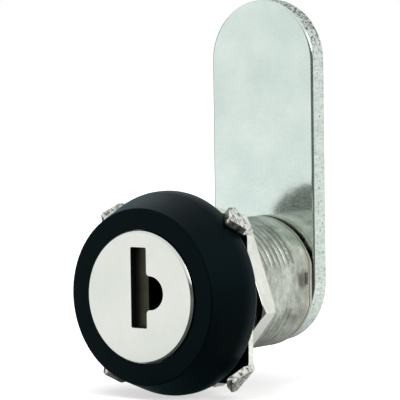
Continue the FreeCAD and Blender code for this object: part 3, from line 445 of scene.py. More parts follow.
def plated_casting():
    """Nickel over a zinc die casting: mottled grey, softly rough, with fine lines round the barrel."""
    c = colours()
    material, tree = blank("nickel plated zinc casting")
    place = add(tree, "ShaderNodeTexCoord", out="Object")
    sideways = add(tree, "ShaderNodeSeparateXYZ", {"Vector": place}, "X")
    along = add(tree, "ShaderNodeSeparateXYZ", {"Vector": place}, "Y")
    upwards = add(tree, "ShaderNodeSeparateXYZ", {"Vector": place}, "Z")
    angle = add(tree, "ShaderNodeMath", {0: upwards, 1: sideways}, operation="ARCTAN2")
    # one radian is 8.5 mm at the barrel's skin
    around = add(tree, "ShaderNodeMath", {0: angle, 1: 8.5 * MM}, operation="MULTIPLY")
    skin = add(tree, "ShaderNodeCombineXYZ", {"X": around, "Y": along})
    # plating mottled at 1.6 mm over 6 mm stains, 0.28 mm pits and lathe lines 0.16 mm apart
    mottle = clouds(tree, 1.6, detail=6, rough=0.68, seed=1)
    stain = clouds(tree, 6.0, detail=3, seed=8)
    pits = clouds(tree, 0.28, detail=3, seed=4)
    lines = clouds(tree, 0.16, detail=2, stretch=(26, 1, 1), place=skin, seed=6)
    mottled = add(tree, "ShaderNodeMapRange", {"Value": mottle, **NOISE, "To Max": 0.6})
    stained = add(tree, "ShaderNodeMapRange", {"Value": stain, **NOISE, "To Max": 0.4})
    share = add(tree, "ShaderNodeMath", {0: mottled, 1: stained}, operation="ADD")
    lined = add(tree, "ShaderNodeMapRange", {"Value": lines, **NOISE, "To Min": -0.16, "To Max": 0.16})
    scored = add(tree, "ShaderNodeMath", {0: share, 1: lined}, operation="ADD", use_clamp=True)
    plate = add(tree, "ShaderNodeMix", {SHARE: scored, FROM: c.cast, TO: c.cast_dull}, **MIXED)
    # oil tints the last millimetres brown, from 15.5 mm behind the door front
    browned = add(tree, "ShaderNodeMapRange", {
        "Value": along, "From Min": 15.5 * MM, "From Max": 17.8 * MM, "To Max": 0.4,
    })
    worn = add(tree, "ShaderNodeMix", {SHARE: browned, FROM: plate, TO: c.cast_brown}, **MIXED)
    # painted shade darkens the dimple in the right-hand flat and fades out 1.6 mm round it
    dimple = Vector((8.0, 16.1, 0.7)) * MM
    from_dimple = add(tree, "ShaderNodeVectorMath", {0: place, 1: dimple}, "Value", operation="DISTANCE")
    dimple_shade = add(tree, "ShaderNodeMapRange", {
        "Value": from_dimple, "From Min": 0.6 * MM, "From Max": 1.6 * MM, "To Min": 0.75, "To Max": 0,
    })
    dimple_shaded = add(tree, "ShaderNodeMix", {SHARE: dimple_shade, FROM: worn, TO: c.dimple_shade_tone}, **MIXED)
    # painted shade darkens the bevel beside the cam, where the gap to the cam lies in shade, and a line 0.9
    # mm before the end, where a turned groove would shade
    bevel = add(tree, "ShaderNodeMapRange", {"Value": along, "From Min": 17.92 * MM, "From Max": 18.1 * MM})
    to_line = add(tree, "ShaderNodeMath", {0: along, 1: 17.45 * MM}, operation="SUBTRACT")
    off_line = add(tree, "ShaderNodeMath", {0: to_line}, operation="ABSOLUTE")
    turned_line = add(tree, "ShaderNodeMapRange", {
        "Value": off_line, "From Min": 0.04 * MM, "From Max": 0.12 * MM, "To Min": 0.8, "To Max": 0,
    })
    rear_shade = add(tree, "ShaderNodeMath", {0: bevel, 1: turned_line}, operation="MAXIMUM")
    tone = add(tree, "ShaderNodeMix", {SHARE: rear_shade, FROM: dimple_shaded, TO: c.rear_shade_tone}, **MIXED)
    rough = add(tree, "ShaderNodeMapRange", {"Value": scored, "To Min": 0.26, "To Max": 0.46})
    pitted = add(tree, "ShaderNodeBump", {"Height": pits, "Distance": 0.02 * MM})
    bumps = add(tree, "ShaderNodeBump", {"Height": lines, "Distance": 0.006 * MM, "Normal": pitted})
    return surfaced(material, tone, rough, {"Metallic": 1.0, "Normal": bumps})


def zinc_plated_strap():
    """Bright zinc plate on punched steel: a pale cool haze over a clear mirror, with slow clouds."""
    c = colours()
    material, tree = blank("bright zinc plated steel")
    # clouds 5 mm across and an orange peel of 0.9 mm
    cloud = clouds(tree, 5.0, detail=5, seed=2)
    orange_peel = clouds(tree, 0.9, detail=3, seed=5)
    # frosted crystals are 0.02 mm; at 0.12 mm they show, still blend into one haze and don't sparkle
    frost = clouds(tree, 0.12, detail=1, seed=7)
    clouded = add(tree, "ShaderNodeMapRange", {"Value": cloud, **NOISE})
    tone = add(tree, "ShaderNodeMix", {SHARE: clouded, FROM: c.cam, TO: c.cam_dull}, **MIXED)
    # the plate is clear but for the frost's crests
    rough = add(tree, "ShaderNodeMapRange", {
        "Value": frost, "From Min": 0.56, "From Max": 0.68, "To Min": 0.1, "To Max": 0.42,
    })
    bumps = add(tree, "ShaderNodeBump", {"Height": orange_peel, "Distance": 0.003 * MM})
    return surfaced(material, tone, rough, {"Metallic": 1.0, "Normal": bumps})


def sheared_edge():
    """Plated fracture of punched steel: pale, scored across the sheet, with dark pits."""
    c = colours()
    material, tree = blank("zinc plated sheared edge")
    # score marks 0.3 mm apart run across the sheet, along Y; pits are about 0.4 mm wide
    scores = clouds(tree, 0.3, detail=4, rough=0.6, stretch=(1, 7, 1), seed=2)
    pits = clouds(tree, 0.42, detail=5, rough=0.75, seed=9)
    scored = add(tree, "ShaderNodeMapRange", {"Value": scores, **NOISE, "To Max": 0.5})
    pale = add(tree, "ShaderNodeMix", {SHARE: scored, FROM: c.sheared, TO: c.sheared_score}, **MIXED)
    # the fracture is deeper round the tip, from 27 mm above the axis
    place = add(tree, "ShaderNodeTexCoord", out="Object")
    height = add(tree, "ShaderNodeSeparateXYZ", {"Vector": place}, "Z")
    tip = add(tree, "ShaderNodeMapRange", {
        "Value": height, "From Min": 27 * MM, "From Max": 34.5 * MM, "To Max": 0.12,
    })
    deeper = add(tree, "ShaderNodeMath", {0: pits, 1: tip}, operation="ADD")
    dark = add(tree, "ShaderNodeMapRange", {"Value": deeper, "From Min": 0.56, "From Max": 0.68})
    tone = add(tree, "ShaderNodeMix", {SHARE: dark, FROM: pale, TO: c.sheared_dark}, **MIXED)
    rough = add(tree, "ShaderNodeMapRange", {"Value": scores, **NOISE, "To Min": 0.28, "To Max": 0.5})
    ridges = add(tree, "ShaderNodeBump", {"Height": scores, "Distance": 0.03 * MM})
    bumps = add(tree, "ShaderNodeBump", {"Height": pits, "Distance": 0.06 * MM, "Normal": ridges})
    return surfaced(material, tone, rough, {"Metallic": 1.0, "Normal": bumps})


def nickel_plate():
    """Bright nickel on punched steel: warm mirror with a faint orange peel."""
    c = colours()
    return cloudy_metal(
        "bright nickel plated steel", c.nickel, c.nickel_dull,
        cloud_mm=4.5, grain_mm=0.9, shine=(0.07, 0.14), depth_mm=0.008,
    )


def nickel_with_painted_spots():
    """The spur washer's nickel plate, with painted dark reflection and shade in spots on its front, thickest
    on the spurs.
    """
    c = colours()
    material, tree = blank("nickel plated steel with painted dark spots")
    # an orange peel of 0.9 mm
    peel = clouds(tree, 0.9, detail=3, seed=5)
    peeled = add(tree, "ShaderNodeMapRange", {"Value": peel, **NOISE})
    plate = add(tree, "ShaderNodeMix", {SHARE: peeled, FROM: c.nickel, TO: c.nickel_dull}, **MIXED)
    # painted dark spots about 0.5 mm across; the plate's back lies 1.6 mm behind the door front and stays
    # free of them
    place = add(tree, "ShaderNodeTexCoord", out="Object")
    along = add(tree, "ShaderNodeSeparateXYZ", {"Vector": place}, "Y")
    front = add(tree, "ShaderNodeMapRange", {
        "Value": along, "From Min": 0.2 * MM, "From Max": 1.3 * MM, "To Min": 0.02, "To Max": -0.2,
    })
    spotted = clouds(tree, 0.5, detail=4, rough=0.7, seed=12)
    spots = add(tree, "ShaderNodeMath", {0: spotted, 1: front}, operation="ADD")
    # the spots are painted dark reflection and shade, as of the black collar beside the spurs
    oil = add(tree, "ShaderNodeMapRange", {"Value": spots, "From Min": 0.46, "From Max": 0.66})
    tone = add(tree, "ShaderNodeMix", {SHARE: oil, FROM: plate, TO: c.dark_spot}, **MIXED)
    rough = add(tree, "ShaderNodeMapRange", {"Value": oil, "To Min": 0.12, "To Max": 0.4})
    bumps = add(tree, "ShaderNodeBump", {"Height": peel, "Distance": 0.008 * MM})
    return surfaced(material, tone, rough, {"Metallic": 1.0, "Normal": bumps})


def raw_zinc():
    """Die-cast zinc as it leaves the die: dull grey, with painted shade darkening it towards the key side."""
    c = colours()
    material, tree = blank("raw zinc casting")
    # mottled at 1.5 mm, with a 0.3 mm grain
    mottle = clouds(tree, 1.5, detail=5)
    mottled = add(tree, "ShaderNodeMapRange", {"Value": mottle, **NOISE})
    clean = add(tree, "ShaderNodeMix", {SHARE: mottled, FROM: c.zinc, TO: c.zinc_dull}, **MIXED)
    # the painted shade fades out from 2 to 12 mm behind the door front
    place = add(tree, "ShaderNodeTexCoord", out="Object")
    along = add(tree, "ShaderNodeSeparateXYZ", {"Vector": place}, "Y")
    depth = add(tree, "ShaderNodeMapRange", {"Value": along, "From Min": 2 * MM, "From Max": 12 * MM})
    tone = add(tree, "ShaderNodeMix", {SHARE: depth, FROM: c.zinc_shade, TO: clean}, **MIXED)
    rough = add(tree, "ShaderNodeMapRange", {"Value": mottle, **NOISE, "To Min": 0.4, "To Max": 0.55})
    grain = clouds(tree, 0.3, detail=3)
    bumps = add(tree, "ShaderNodeBump", {"Height": grain, "Distance": 0.01 * MM})
    return surfaced(material, tone, rough, {"Metallic": 1.0, "Normal": bumps})


def shutter_steel():
    """Hardened strip for the shutter: brown-grey, rolled lengthways, a little worn by keys."""
    c = colours()
    return cloudy_metal(
        "hardened spring strip", c.shutter, c.shutter_dull,
        cloud_mm=2.0, grain_mm=0.12, shine=(0.5, 0.62), depth_mm=0.003, stretch=(1, 1, 20),
    )


def spring_wire():
    """Drawn music wire: grey and clean, with a fine grain."""
    c = colours()
    return cloudy_metal(
        "drawn spring wire", c.wire, c.wire_dull,
        cloud_mm=0.6, grain_mm=0.08, shine=(0.25, 0.38), depth_mm=0.002,
    )


def punched_brass():
    """Punched brass sheet: warm yellow with tarnished patches."""
    c = colours()
    return cloudy_metal(
        "punched brass sheet", c.brass, c.brass_dull,
        cloud_mm=1.8, grain_mm=0.3, shine=(0.22, 0.4), depth_mm=0.004,
    )


def plated_fixing():
    """Zinc plated turned steel: cool grey, with a fine grain."""
    c = colours()
    return cloudy_metal(
        "zinc plated turned steel", c.fixing, c.fixing_dull,
        cloud_mm=1.6, grain_mm=0.2, shine=(0.2, 0.34), depth_mm=0.005,
    )


# Pieces


class LOCK_OT_collar(bpy.types.Operator):
    """Model the black tapered collar round the face"""

    bl_idname = "lock.collar"
    bl_label = "Collar"

    def execute(self, context):
        size = sizes()
        low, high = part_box("head_collar")
        # radii and places along the axis in mm, as in the solid
        widest, front = high.x / MM, low.y / MM
        hole, face, inner = 8.4, 11.0, 9.65
        band = -2.1
        recess = front + 1.4
        collar = turned("collar", [
            (hole, front), (face, front), (widest, band), (widest, 0), (inner, 0), (inner, recess),
            (hole, recess),
        ])
        for radius, along, width, segments in (
            (widest, band, size.collar_step, 4), (widest, 0, size.collar_rear, 5),
            (face, front, size.collar_front, 4), (hole, front, 0.12 * MM, 2),
        ):
            bevel_where(collar, lambda e: is_ring(e, radius, along), width, segments)
        smooth(collar)
        dress_piece(collar, "housing", "black_plastic", ["head_collar"], black_plastic())
        return {"FINISHED"}


def thread_cutter(start_mm, turns):
    """A V-shaped strip that winds round the barrel and cuts its thread."""
    size = sizes()
    skin = 8.5 * MM
    # how far the V stands out of the barrel, and how far each flank spreads for its depth
    past = 0.25 * MM
    flank = 0.75
    spread = flank * (size.thread_depth + past)
    put_down()
    bpy.ops.mesh.primitive_circle_add(vertices=3, radius=MM)
    cutter = bpy.context.object
    cutter.name = "thread_cutter"
    corners = (
        (skin - size.thread_depth, start_mm * MM),
        (skin + past, start_mm * MM + spread),
        (skin + past, start_mm * MM - spread),
    )
    for vertex, (x, y) in zip(cutter.data.vertices, corners):
        vertex.co = (x, y, 0)
    apply_modifier(
        cutter, "SCREW", axis="Y", angle=2 * math.pi, screw_offset=size.thread_pitch, iterations=turns,
        steps=72, render_steps=72, use_normal_calculate=True,
    )
    # a slight taper lifts the cutter out of the barrel towards its far end
    fade = size.thread_fade / skin
    apply_modifier(cutter, "SIMPLE_DEFORM", deform_method="TAPER", deform_axis="Y", factor=fade)
    cap_ends(cutter)
    return cutter


class LOCK_OT_barrel(bpy.types.Operator):
    """Model the plated barrel and cut its thread"""

    bl_idname = "lock.barrel"
    bl_label = "Barrel"

    def execute(self, context):
        # the solid's own edges stay sharp, since a bevel beside the thread would break the cut
        barrel = copied("lock_body", "barrel", edge_width=0)
        cut_with(barrel, thread_cutter(start_mm=0.3, turns=14))
        smooth(barrel, degrees=38)
        dress_piece(barrel, "housing", "plated_zinc", ["lock_body"], plated_casting())
        return {"FINISHED"}


class LOCK_OT_face_disc(bpy.types.Operator):
    """Model the stamped face disc, with painted shade on its slot wall"""

    bl_idname = "lock.face_disc"
    bl_label = "Face disc"

    def execute(self, context):
        disc = copied("plug_face", "face_disc", edge_width=0.05 * MM)
        smooth(disc)
        dress_piece(disc, "plug", "bright_disc", ["plug_face"], bright_stainless(), painted_shade_wall())
        # the slot's wall gets painted shade from 0.08 mm below the face, and the disc's own rim stays bright
        rim = 7.0 * MM
        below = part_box("plug_face")[0].y + 0.08 * MM
        for face in disc.data.polygons:
            wall = abs(face.normal.y) < 0.5 and radius_of(face.center) < rim and face.center.y > below
            face.material_index = 1 if wall else 0
        return {"FINISHED"}


class LOCK_OT_plug(bpy.types.Operator):
    """Model the cast plug"""

    bl_idname = "lock.plug"
    bl_label = "Plug"

    def execute(self, context):
        plug = copied("plug", "plug_core", edge_width=0.05 * MM, segments=1, angle=40)
        smooth(plug)
        dress_piece(plug, "plug", "core_zinc", ["plug"], raw_zinc())
        return {"FINISHED"}


class LOCK_OT_shutter(bpy.types.Operator):
    """Model the dust shutter and its pin"""

    bl_idname = "lock.shutter"
    bl_label = "Dust shutter"

    def execute(self, context):
        flap = copied("dust_shutter", "shutter_flap", edge_width=0.05 * MM)
        smooth(flap)
        dress_piece(flap, "shutter", "shutter_steel", ["dust_shutter"], shutter_steel())
        pin = copied("shutter_pin", "hinge_pin", edge_width=0.08 * MM, segments=3)
        smooth(pin)
        dress_piece(pin, "plug", "spring_steel", ["shutter_pin"], spring_wire())
        return {"FINISHED"}


def wound_wire(name, coil_radius, pitch, turns, start_degrees=0.0):
    """Round wire wound about Z, rising from the origin. The turns need not be whole."""
    put_down()
    bpy.ops.mesh.primitive_circle_add(
        vertices=12, radius=sizes().wire / 2, location=(coil_radius, 0, 0), rotation=UPRIGHT
    )
    coil = bpy.context.object
    coil.name = name
    bpy.ops.object.transform_apply()
    steps = round(28 * turns)
    apply_modifier(
        coil, "SCREW", axis="Z", angle=2 * math.pi * turns, screw_offset=pitch * turns, iterations=1,
        steps=steps, render_steps=steps, use_normal_calculate=True,
    )
    cap_ends(coil)
    coil.data.transform(Matrix.Rotation(math.radians(start_degrees), 4, "Z"))
    return coil


class LOCK_OT_springs(bpy.types.Operator):
    """Wind the wafer springs, the catch spring and the shutter spring"""

    bl_idname = "lock.springs"
    bl_label = "Springs"

    def execute(self, context):
        wire = spring_wire()
        self.wind_wafer_springs(wire)
        self.wind_catch_spring(wire)
        self.wind_shutter_spring(wire)
        return {"FINISHED"}

    def wind_wafer_springs(self, wire):
        """Six small springs, one under each wafer's lug, on the left and the right in turn."""
        radius = pitch = 0.36 * MM
        turns = 6
        inset, first_along, spacing, off_axis = 0.44 * MM, 1.05 * MM, 1.6 * MM, 1.0 * MM
        low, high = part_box("wafer_springs")
        model = wound_wire("wafer_spring", radius, pitch, turns)
        model.data.transform(Matrix.Translation((0, 0, -pitch * turns / 2)))
        copies = []
        for number in range(6):
            one = bpy.data.objects.new(f"wafer_spring_{number + 1}", model.data.copy())
            bpy.context.scene.collection.objects.link(one)
            left = number % 2 == 0
            x = low.x + inset if left else high.x - inset
            z = -off_axis if left else off_axis
            one.data.transform(Matrix.Translation((x, first_along + spacing * number, z)))
            copies.append(one)
        bpy.data.objects.remove(model)
        pick(copies[0])
        for one in copies:
            one.select_set(True)
        bpy.ops.object.join()
        springs = bpy.context.object
        springs.name = "wafer_spring_wires"
        smooth(springs, degrees=60)
        dress_piece(springs, "plug", "spring_steel", ["wafer_springs"], wire)

    def wind_catch_spring(self, wire):
        """The spring under the catch, which flattens as the catch is pushed in; here it is wound at one
        length only.
        """
        size = sizes()
        turns = 3
        low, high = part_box("catch_spring")
        middle = (low + high) / 2
        span = high.x - low.x - size.wire
        spring = wound_wire("catch_spring_wire", 0.42 * MM, span / turns, turns)
        spring.data.transform(Matrix.Rotation(math.pi / 2, 4, "Y"))
        spring.data.transform(Matrix.Translation((low.x + size.wire / 2, middle.y, middle.z)))
        smooth(spring, degrees=60)
        dress_piece(spring, "plug", "spring_steel", ["catch_spring"], wire)
        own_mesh(spring)

    def wind_shutter_spring(self, wire):
        """Torsion spring: a leg against the recess wall and a leg behind the flap."""
        radius, pitch, bend, leg = 0.52 * MM, 0.3 * MM, 0.15 * MM, 1.9 * MM
        # it winds from the first leg, which leans by 10 degrees, to the other, 3.4 turns on
        lean_degrees, leave_degrees = 10, -30
        start_degrees = 180 + lean_degrees
        turns = 4 + (leave_degrees - start_degrees) / 360
        coil = wound_wire("shutter_spring_wire", radius, pitch, turns, start_degrees)
        start, leave, lean = (math.radians(d) for d in (start_degrees, leave_degrees, lean_degrees))
        top = Vector((0, 0, pitch * turns))
        tail = Vector((math.cos(start), math.sin(start), 0)) * radius
        head = Vector((math.cos(leave), math.sin(leave), 0)) * radius
        reach = sizes().wire

        def is_end(face, place):
            return len(face.verts) > 4 and (face.calc_center_median() - place).length < reach

        take(coil)
        choose(coil, "FACE", lambda f: is_end(f, tail))
        along = Vector((-math.sin(lean), math.cos(lean), 0)) * leg
        bpy.ops.mesh.extrude_region_move(TRANSFORM_OT_translate={"value": along})
        choose(coil, "FACE", lambda f: is_end(f, head + top))
        heart = head * (1 + bend / radius) + top
        bpy.ops.mesh.spin(steps=5, angle=math.radians(-60), center=heart, axis=(0, 0, 1))
        bpy.ops.mesh.extrude_region_move(TRANSFORM_OT_translate={"value": (leg, 0, 0)})
        put_down()
        close_up(coil)
        # the flap's knuckle is 1.5 mm across, at its box's lower corner
        low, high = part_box("dust_shutter")
        knuckle = low + Vector((0.75, 0.75, 0)) * MM
        middle = (low.z + high.z) / 2 - top.z / 2
        coil.data.transform(Matrix.Translation((knuckle.x, knuckle.y, middle)))
        smooth(coil, degrees=60)
        dress_piece(coil, "plug", "spring_steel", ["shutter_spring"], wire)


class LOCK_OT_wafers(bpy.types.Operator):
    """Model the six wafers and the plug catch"""

    bl_idname = "lock.wafers"
    bl_label = "Wafers and catch"

    def execute(self, context):
        brass = punched_brass()
        for number in range(1, 7):
            wafer = copied(f"wafer_{number}", f"wafer_plate_{number}", edge_width=0.06 * MM)
            smooth(wafer)
            dress_piece(wafer, f"wafer_{number}", "brass_sheet", [f"wafer_{number}"], brass)
        catch = copied("plug_catch", "catch_block", edge_width=0.15 * MM, segments=3)
        smooth(catch)
        dress_piece(catch, "catch", "brass_sheet", ["plug_catch"], plated_fixing())
        return {"FINISHED"}


class LOCK_OT_spur_washer(bpy.types.Operator):
    """Model the spur washer with its bent corners"""

    bl_idname = "lock.spur_washer"
    bl_label = "Spur washer"

    def execute(self, context):
        washer = copied("spur_washer", "spur_plate", sizes().punched_edge, segments=3, angle=24)
        smooth(washer, degrees=40)
        dress_piece(washer, "washer", "plated_steel", ["spur_washer"], nickel_with_painted_spots())
        return {"FINISHED"}


class LOCK_OT_hex_nut(bpy.types.Operator):
    """Model the thin hex nut"""

    bl_idname = "lock.hex_nut"
    bl_label = "Hex nut"

    def execute(self, context):
        nut = copied("hex_nut", "nut", sizes().nut_edge, segments=3, angle=20)
        smooth(nut, degrees=24)
        dress_piece(nut, "nut", "plated_steel", ["hex_nut"], nickel_plate())
        return {"FINISHED"}


class LOCK_OT_cam(bpy.types.Operator):
    """Model the cam with its rolled front edge and sheared side"""

    bl_idname = "lock.cam"
    bl_label = "Cam"

    def execute(self, context):
        size = sizes()
        low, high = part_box("cam")
        half = high.x
        reach = high.z - half
        thick = high.y - low.y
        put_down()
        bpy.ops.mesh.primitive_circle_add(
            vertices=96, radius=half, fill_type="NGON", location=(0, low.y, 0), rotation=UPRIGHT
        )
        cam = bpy.context.object
        cam.name = "cam_strap"
        bpy.ops.object.transform_apply()
        take(cam)
        # the upper half of the rim is drawn up into the strap
        choose(cam, "EDGE", lambda e: all(v.co.z > -TOUCH for v in e.verts))
        bpy.ops.mesh.extrude_region_move(TRANSFORM_OT_translate={"value": (0, 0, reach)})
        bpy.ops.mesh.select_all(action="SELECT")
        bpy.ops.mesh.dissolve_limited(angle_limit=math.radians(0.5))
        bpy.ops.mesh.select_all(action="SELECT")
        bpy.ops.mesh.extrude_region_move(TRANSFORM_OT_translate={"value": (0, thick, 0)})
        face_outwards()
        put_down()

        def on_plane(edge, place):
            return all(abs(v.co.y - place) < TOUCH for v in edge.verts)

        bevel_where(cam, lambda e: on_plane(e, low.y), size.cam_roll, 5)
        bevel_where(cam, lambda e: on_plane(e, high.y), size.cam_back, 2)
        # the hole for the plug's square tail is 7.1 mm wide
        bpy.ops.mesh.primitive_cube_add(size=7.1 * MM, location=(0, (low.y + high.y) / 2, 0))
        cut_with(cam, bpy.context.object)
        smooth(cam, degrees=40)
        dress_piece(cam, "plug", "plated_steel", ["cam"], zinc_plated_strap(), sheared_edge())
        # the outer side is sheared; the hole's walls lie within 4 mm of the axis and are plated
        for face in cam.data.polygons:
            outside = max(abs(face.center.x), abs(face.center.z)) > 4 * MM
            face.material_index = 1 if outside and abs(face.normal.y) < 0.3 else 0
        return {"FINISHED"}


class LOCK_OT_cam_fixing(bpy.types.Operator):
    """Model the washers and the screw behind the cam"""

    bl_idname = "lock.cam_fixing"
    bl_label = "Cam fixing"

    def execute(self, context):
        plate = plated_fixing()
        for node, name in (("cam_washer", "plain_washer"), ("spring_washer", "split_washer")):
            washer = copied(node, name, edge_width=0.1 * MM)
            smooth(washer)
            dress_piece(washer, "plug", "plated_steel", [node], plate)

        # the screw's outline in mm: a chamfered shank, and a head that rises 2.4 mm to a flat crown
        low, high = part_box("cam_screw")
        tip, top, wide = low.y / MM, high.y / MM, high.x / MM
        seat = top - 2.4
        shank, chamfer = 1.95, 0.3
        screw = turned("pan_screw", [
            (shank - chamfer, tip), (shank, tip + chamfer), (shank, seat), (wide, seat), (wide, seat + 0.9),
            (wide - 0.1, seat + 1.35), (wide - 0.45, seat + 1.8), (wide - 1.1, seat + 2.15),
            (wide - 2.0, seat + 2.34), (wide - 3.0, top), (0.2, top),
        ], steps=64, closed=False)
        # the cross recess: two blades 0.9 mm thick and 4.2 mm long reach 1.3 mm deep
        thin, long, deep = 0.9 * MM, 4.2 * MM, 1.3 * MM
        for blade_size in ((thin, 2 * deep, long), (long, 2 * deep, thin)):
            bpy.ops.mesh.primitive_cube_add(size=1, location=(0, top * MM, 0))
            blade = bpy.context.object
            blade.scale = blade_size
            bpy.ops.object.transform_apply()
            cut_with(screw, blade)
        smooth(screw, degrees=34)
        dress_piece(screw, "plug", "plated_steel", ["cam_screw"], plate)
        return {"FINISHED"}


# Studio


def bright_sectors(tree, direction):
    """How bright the studio is along a level direction, as metal sees it: 1, but dark in two sectors.

    A black flag on the left, behind the lock, draws thin dark lines on its left rims. The dark room behind
    the camera lines its right-hand edges.
    """
    # where each lies, the cosines at which its dark begins and is full, and the light that is left
    flag = (-0.8, 0.6, 0), 0.5, 0.75, 0.15
    room = (0.61, -0.79, 0), 0.4, 0.65, 0.12
    levels = []
    for centre, begins, full, left in (flag, room):
        near = add(tree, "ShaderNodeVectorMath", {0: direction, 1: centre}, "Value", operation="DOT_PRODUCT")
        levels.append(add(tree, "ShaderNodeMapRange", {
            "Value": near, "From Min": begins, "From Max": full, "To Min": 1, "To Max": left,
        }))
    return add(tree, "ShaderNodeMath", {0: levels[0], 1: levels[1]}, operation="MULTIPLY")


def to_the_eye(tree):
    """1 for what the camera sees, also through glass, and 0 for all other light."""
    seen = add(tree, "ShaderNodeLightPath", out="Is Camera Ray")
    through = add(tree, "ShaderNodeLightPath", out="Is Transmission Ray")
    return add(tree, "ShaderNodeMath", {0: seen, 1: through}, operation="MAXIMUM")


def floor_material():
    """White paper sweep: plain white to the eye, with the lock's soft shadow left on it."""
    material, tree = blank("white paper")
    # fibres clump about 3 mm across
    fibre = clouds(tree, 3.0, detail=2)
    pale, paler = linear("#DADADA"), linear("#DEDEDE")
    paper = add(tree, "ShaderNodeMix", {SHARE: fibre, FROM: pale, TO: paler}, **MIXED)
    place = add(tree, "ShaderNodeTexCoord", out="Object")
    glossy = add(tree, "ShaderNodeLightPath", out="Is Glossy Ray")
    # the sweep is lit up away from the lock: from 12 to 55 mm, and again from 100 to 700 mm
    away = add(tree, "ShaderNodeVectorMath", {0: place}, "Value", operation="LENGTH")
    near = add(tree, "ShaderNodeMapRange", {
        "Value": away, "From Min": 12 * MM, "From Max": 55 * MM, "To Min": 0.08, "To Max": 0.33,
    })
    far = add(tree, "ShaderNodeMapRange", {
        "Value": away, "From Min": 100 * MM, "From Max": 700 * MM, "To Max": 0.16,
    })
    sweep = add(tree, "ShaderNodeMath", {0: near, 1: far}, operation="ADD")
    # metal finds it dark under the flag and in the room behind the camera
    outwards = add(tree, "ShaderNodeVectorMath", {0: place}, operation="NORMALIZE")
    bright = bright_sectors(tree, outwards)
    dim = add(tree, "ShaderNodeMath", {0: 1.0, 1: bright}, operation="SUBTRACT")
    dark = add(tree, "ShaderNodeMath", {0: glossy, 1: dim}, operation="MULTIPLY")
    tone = add(tree, "ShaderNodeMix", {SHARE: dark, FROM: paper, TO: linear("#000000")}, **MIXED)
    lit = add(tree, "ShaderNodeMath", {0: sweep, 1: bright}, operation="MULTIPLY")
    mirrored = add(tree, "ShaderNodeMath", {0: glossy, 1: lit}, operation="MULTIPLY")
    # to the eye it glows 0.5 more than metal finds it, which leaves it plain white round the shadow
    plain = add(tree, "ShaderNodeMath", {0: sweep, 1: 0.5}, operation="ADD")
    glow = add(tree, "ShaderNodeMath", {0: to_the_eye(tree), 1: plain, 2: mirrored}, operation="MULTIPLY_ADD")
    return surfaced(material, tone, 0.9, {
        "Specular IOR Level": 0.1, "Emission Color": linear("#FFFFFF"), "Emission Strength": glow,
    })


def studio_world():
    """White surroundings for the eye and for metal, and a plain soft level for all else."""
    world = bpy.data.worlds.new("studio")
    bpy.context.scene.world = world
    world.use_nodes = True
    tree = world.node_tree
    tree.nodes.clear()
    direction = add(tree, "ShaderNodeTexCoord", out="Generated")
    height = add(tree, "ShaderNodeSeparateXYZ", {"Vector": direction}, "Z")
    # the ceiling is dimmer than the walls, so that round metal has an edge
    walls = add(tree, "ShaderNodeMapRange", {
        "Value": height, "From Min": 0.5, "From Max": 1.0, "To Min": 0.9, "To Max": 0.82,
    })
    # the dark sectors stand only low down
    high = add(tree, "ShaderNodeMapRange", {"Value": height, "From Min": 0.2, "From Max": 0.4})
    sectors = add(tree, "ShaderNodeMath", {0: bright_sectors(tree, direction), 1: high}, operation="MAXIMUM")
    mirror = add(tree, "ShaderNodeMath", {0: walls, 1: sectors}, operation="MULTIPLY")
    glossy = add(tree, "ShaderNodeLightPath", out="Is Glossy Ray")
    soft_level = 0.5
    lit = add(tree, "ShaderNodeMix", {"Factor": glossy, "A": soft_level, "B": mirror})
    strength = add(tree, "ShaderNodeMix", {"Factor": to_the_eye(tree), "A": lit, "B": 1.0})
    ground = add(tree, "ShaderNodeBackground", {"Color": linear("#FFFFFF"), "Strength": strength})
    add(tree, "ShaderNodeOutputWorld", {"Surface": ground})


def soft_lamp(name, place_mm, watts, across_mm):
    """A square soft box that faces the lock's head."""
    put_down()
    place = Vector(place_mm) * MM
    bpy.ops.object.light_add(type="AREA", location=place)
    lamp = bpy.context.object
    lamp.name = name
    lamp.data.energy = watts
    lamp.data.size = across_mm * MM
    aim = Vector((0, 5, 8)) * MM - place
    lamp.rotation_euler = aim.to_track_quat("-Z", "Y").to_euler()
    return lamp


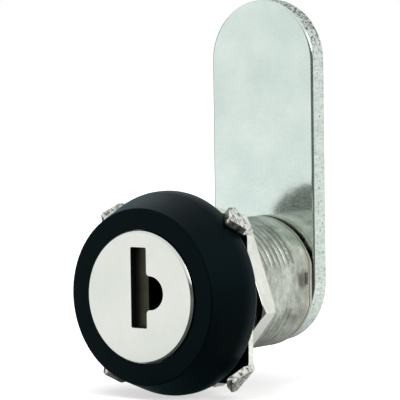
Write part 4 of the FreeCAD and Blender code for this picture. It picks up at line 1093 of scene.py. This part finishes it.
class LOCK_OT_stage(bpy.types.Operator):
    """Set up the floor, the soft light and the camera"""

    bl_idname = "lock.stage"
    bl_label = "Studio"

    def execute(self, context):
        put_down()
        # the lock stands on a sweep 6 m wide
        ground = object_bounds()[0][2]
        bpy.ops.mesh.primitive_plane_add(size=6.0, location=(0, 0, ground))
        floor = bpy.context.object
        floor.name = "floor"
        floor.data.materials.append(floor_material())
        floor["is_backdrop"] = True
        studio_world()
        key = soft_lamp("key", (20, -220, 500), watts=1.1, across_mm=300)
        # metal mirrors the even studio and not the lamp, whose image would burn out
        key.visible_glossy = False
        soft_lamp("fill", (420, -60, 260), watts=0.5, across_mm=240)
        self.place_camera()
        context.scene.view_settings.view_transform = "Standard"
        return {"FINISHED"}

    def place_camera(self):
        """The photograph's view: 37.6 degrees round to the right and 3.7 degrees above."""
        yaw, pitch, roll = math.radians(37.565), math.radians(3.661), math.radians(-0.802)
        distance_mm, rightwards_mm, upwards_mm = 350, 2.5326, 11.5468
        level = Vector((math.cos(yaw), math.sin(yaw), 0))
        ahead = Vector((-math.sin(yaw), math.cos(yaw), 0))
        forward = ahead * math.cos(pitch) - Vector((0, 0, math.sin(pitch)))
        upward = level.cross(forward)
        right = level * math.cos(roll) + upward * math.sin(roll)
        up = upward * math.cos(roll) - level * math.sin(roll)
        aim = Vector((0, 0.6, 0)) * MM + right * rightwards_mm * MM + up * upwards_mm * MM
        camera_data = bpy.data.cameras.new("camera")
        camera_data.sensor_width = 36
        camera_data.lens = 250.58
        camera = bpy.data.objects.new("camera", camera_data)
        bpy.context.scene.collection.objects.link(camera)
        turn = Matrix((right, up, -forward)).transposed().to_4x4()
        camera.matrix_world = Matrix.Translation(aim - forward * distance_mm * MM) @ turn
        bpy.context.scene.camera = camera


OPERATORS = (
    LOCK_OT_collar, LOCK_OT_barrel, LOCK_OT_face_disc, LOCK_OT_plug, LOCK_OT_shutter, LOCK_OT_springs,
    LOCK_OT_wafers, LOCK_OT_spur_washer, LOCK_OT_hex_nut, LOCK_OT_cam, LOCK_OT_cam_fixing, LOCK_OT_stage,
)


class LOCK_PT_panel(bpy.types.Panel):
    """Lists the lock's pieces, sizes and colours"""

    bl_idname = "LOCK_PT_panel"
    bl_label = "Cam lock"
    bl_space_type = "VIEW_3D"
    bl_region_type = "UI"
    bl_category = "Cam lock"

    def draw(self, context):
        layout = self.layout
        for operator in OPERATORS:
            layout.operator(operator.bl_idname)
        for group in (context.scene.lock_sizes, context.scene.lock_colours):
            for name in group.bl_rna.properties.keys():
                if name not in ("rna_type", "name"):
                    layout.prop(group, name)


CLASSES = (LOCK_PG_sizes, LOCK_PG_colours, *OPERATORS, LOCK_PT_panel)


def register():
    """Make the classes known to Blender and hang the sizes and colours on its scenes."""
    for kind in CLASSES:
        bpy.utils.register_class(kind)
    bpy.types.Scene.lock_sizes = bpy.props.PointerProperty(type=LOCK_PG_sizes)
    bpy.types.Scene.lock_colours = bpy.props.PointerProperty(type=LOCK_PG_colours)


def unregister():
    """Undo register."""
    del bpy.types.Scene.lock_colours
    del bpy.types.Scene.lock_sizes
    for kind in reversed(CLASSES):
        bpy.utils.unregister_class(kind)


def main():
    """Model every piece and the stage."""
    register()
    for operator in OPERATORS:
        group, name = operator.bl_idname.split(".")
        getattr(getattr(bpy.ops, group), name)()


if __name__ == "__main__":
    main()
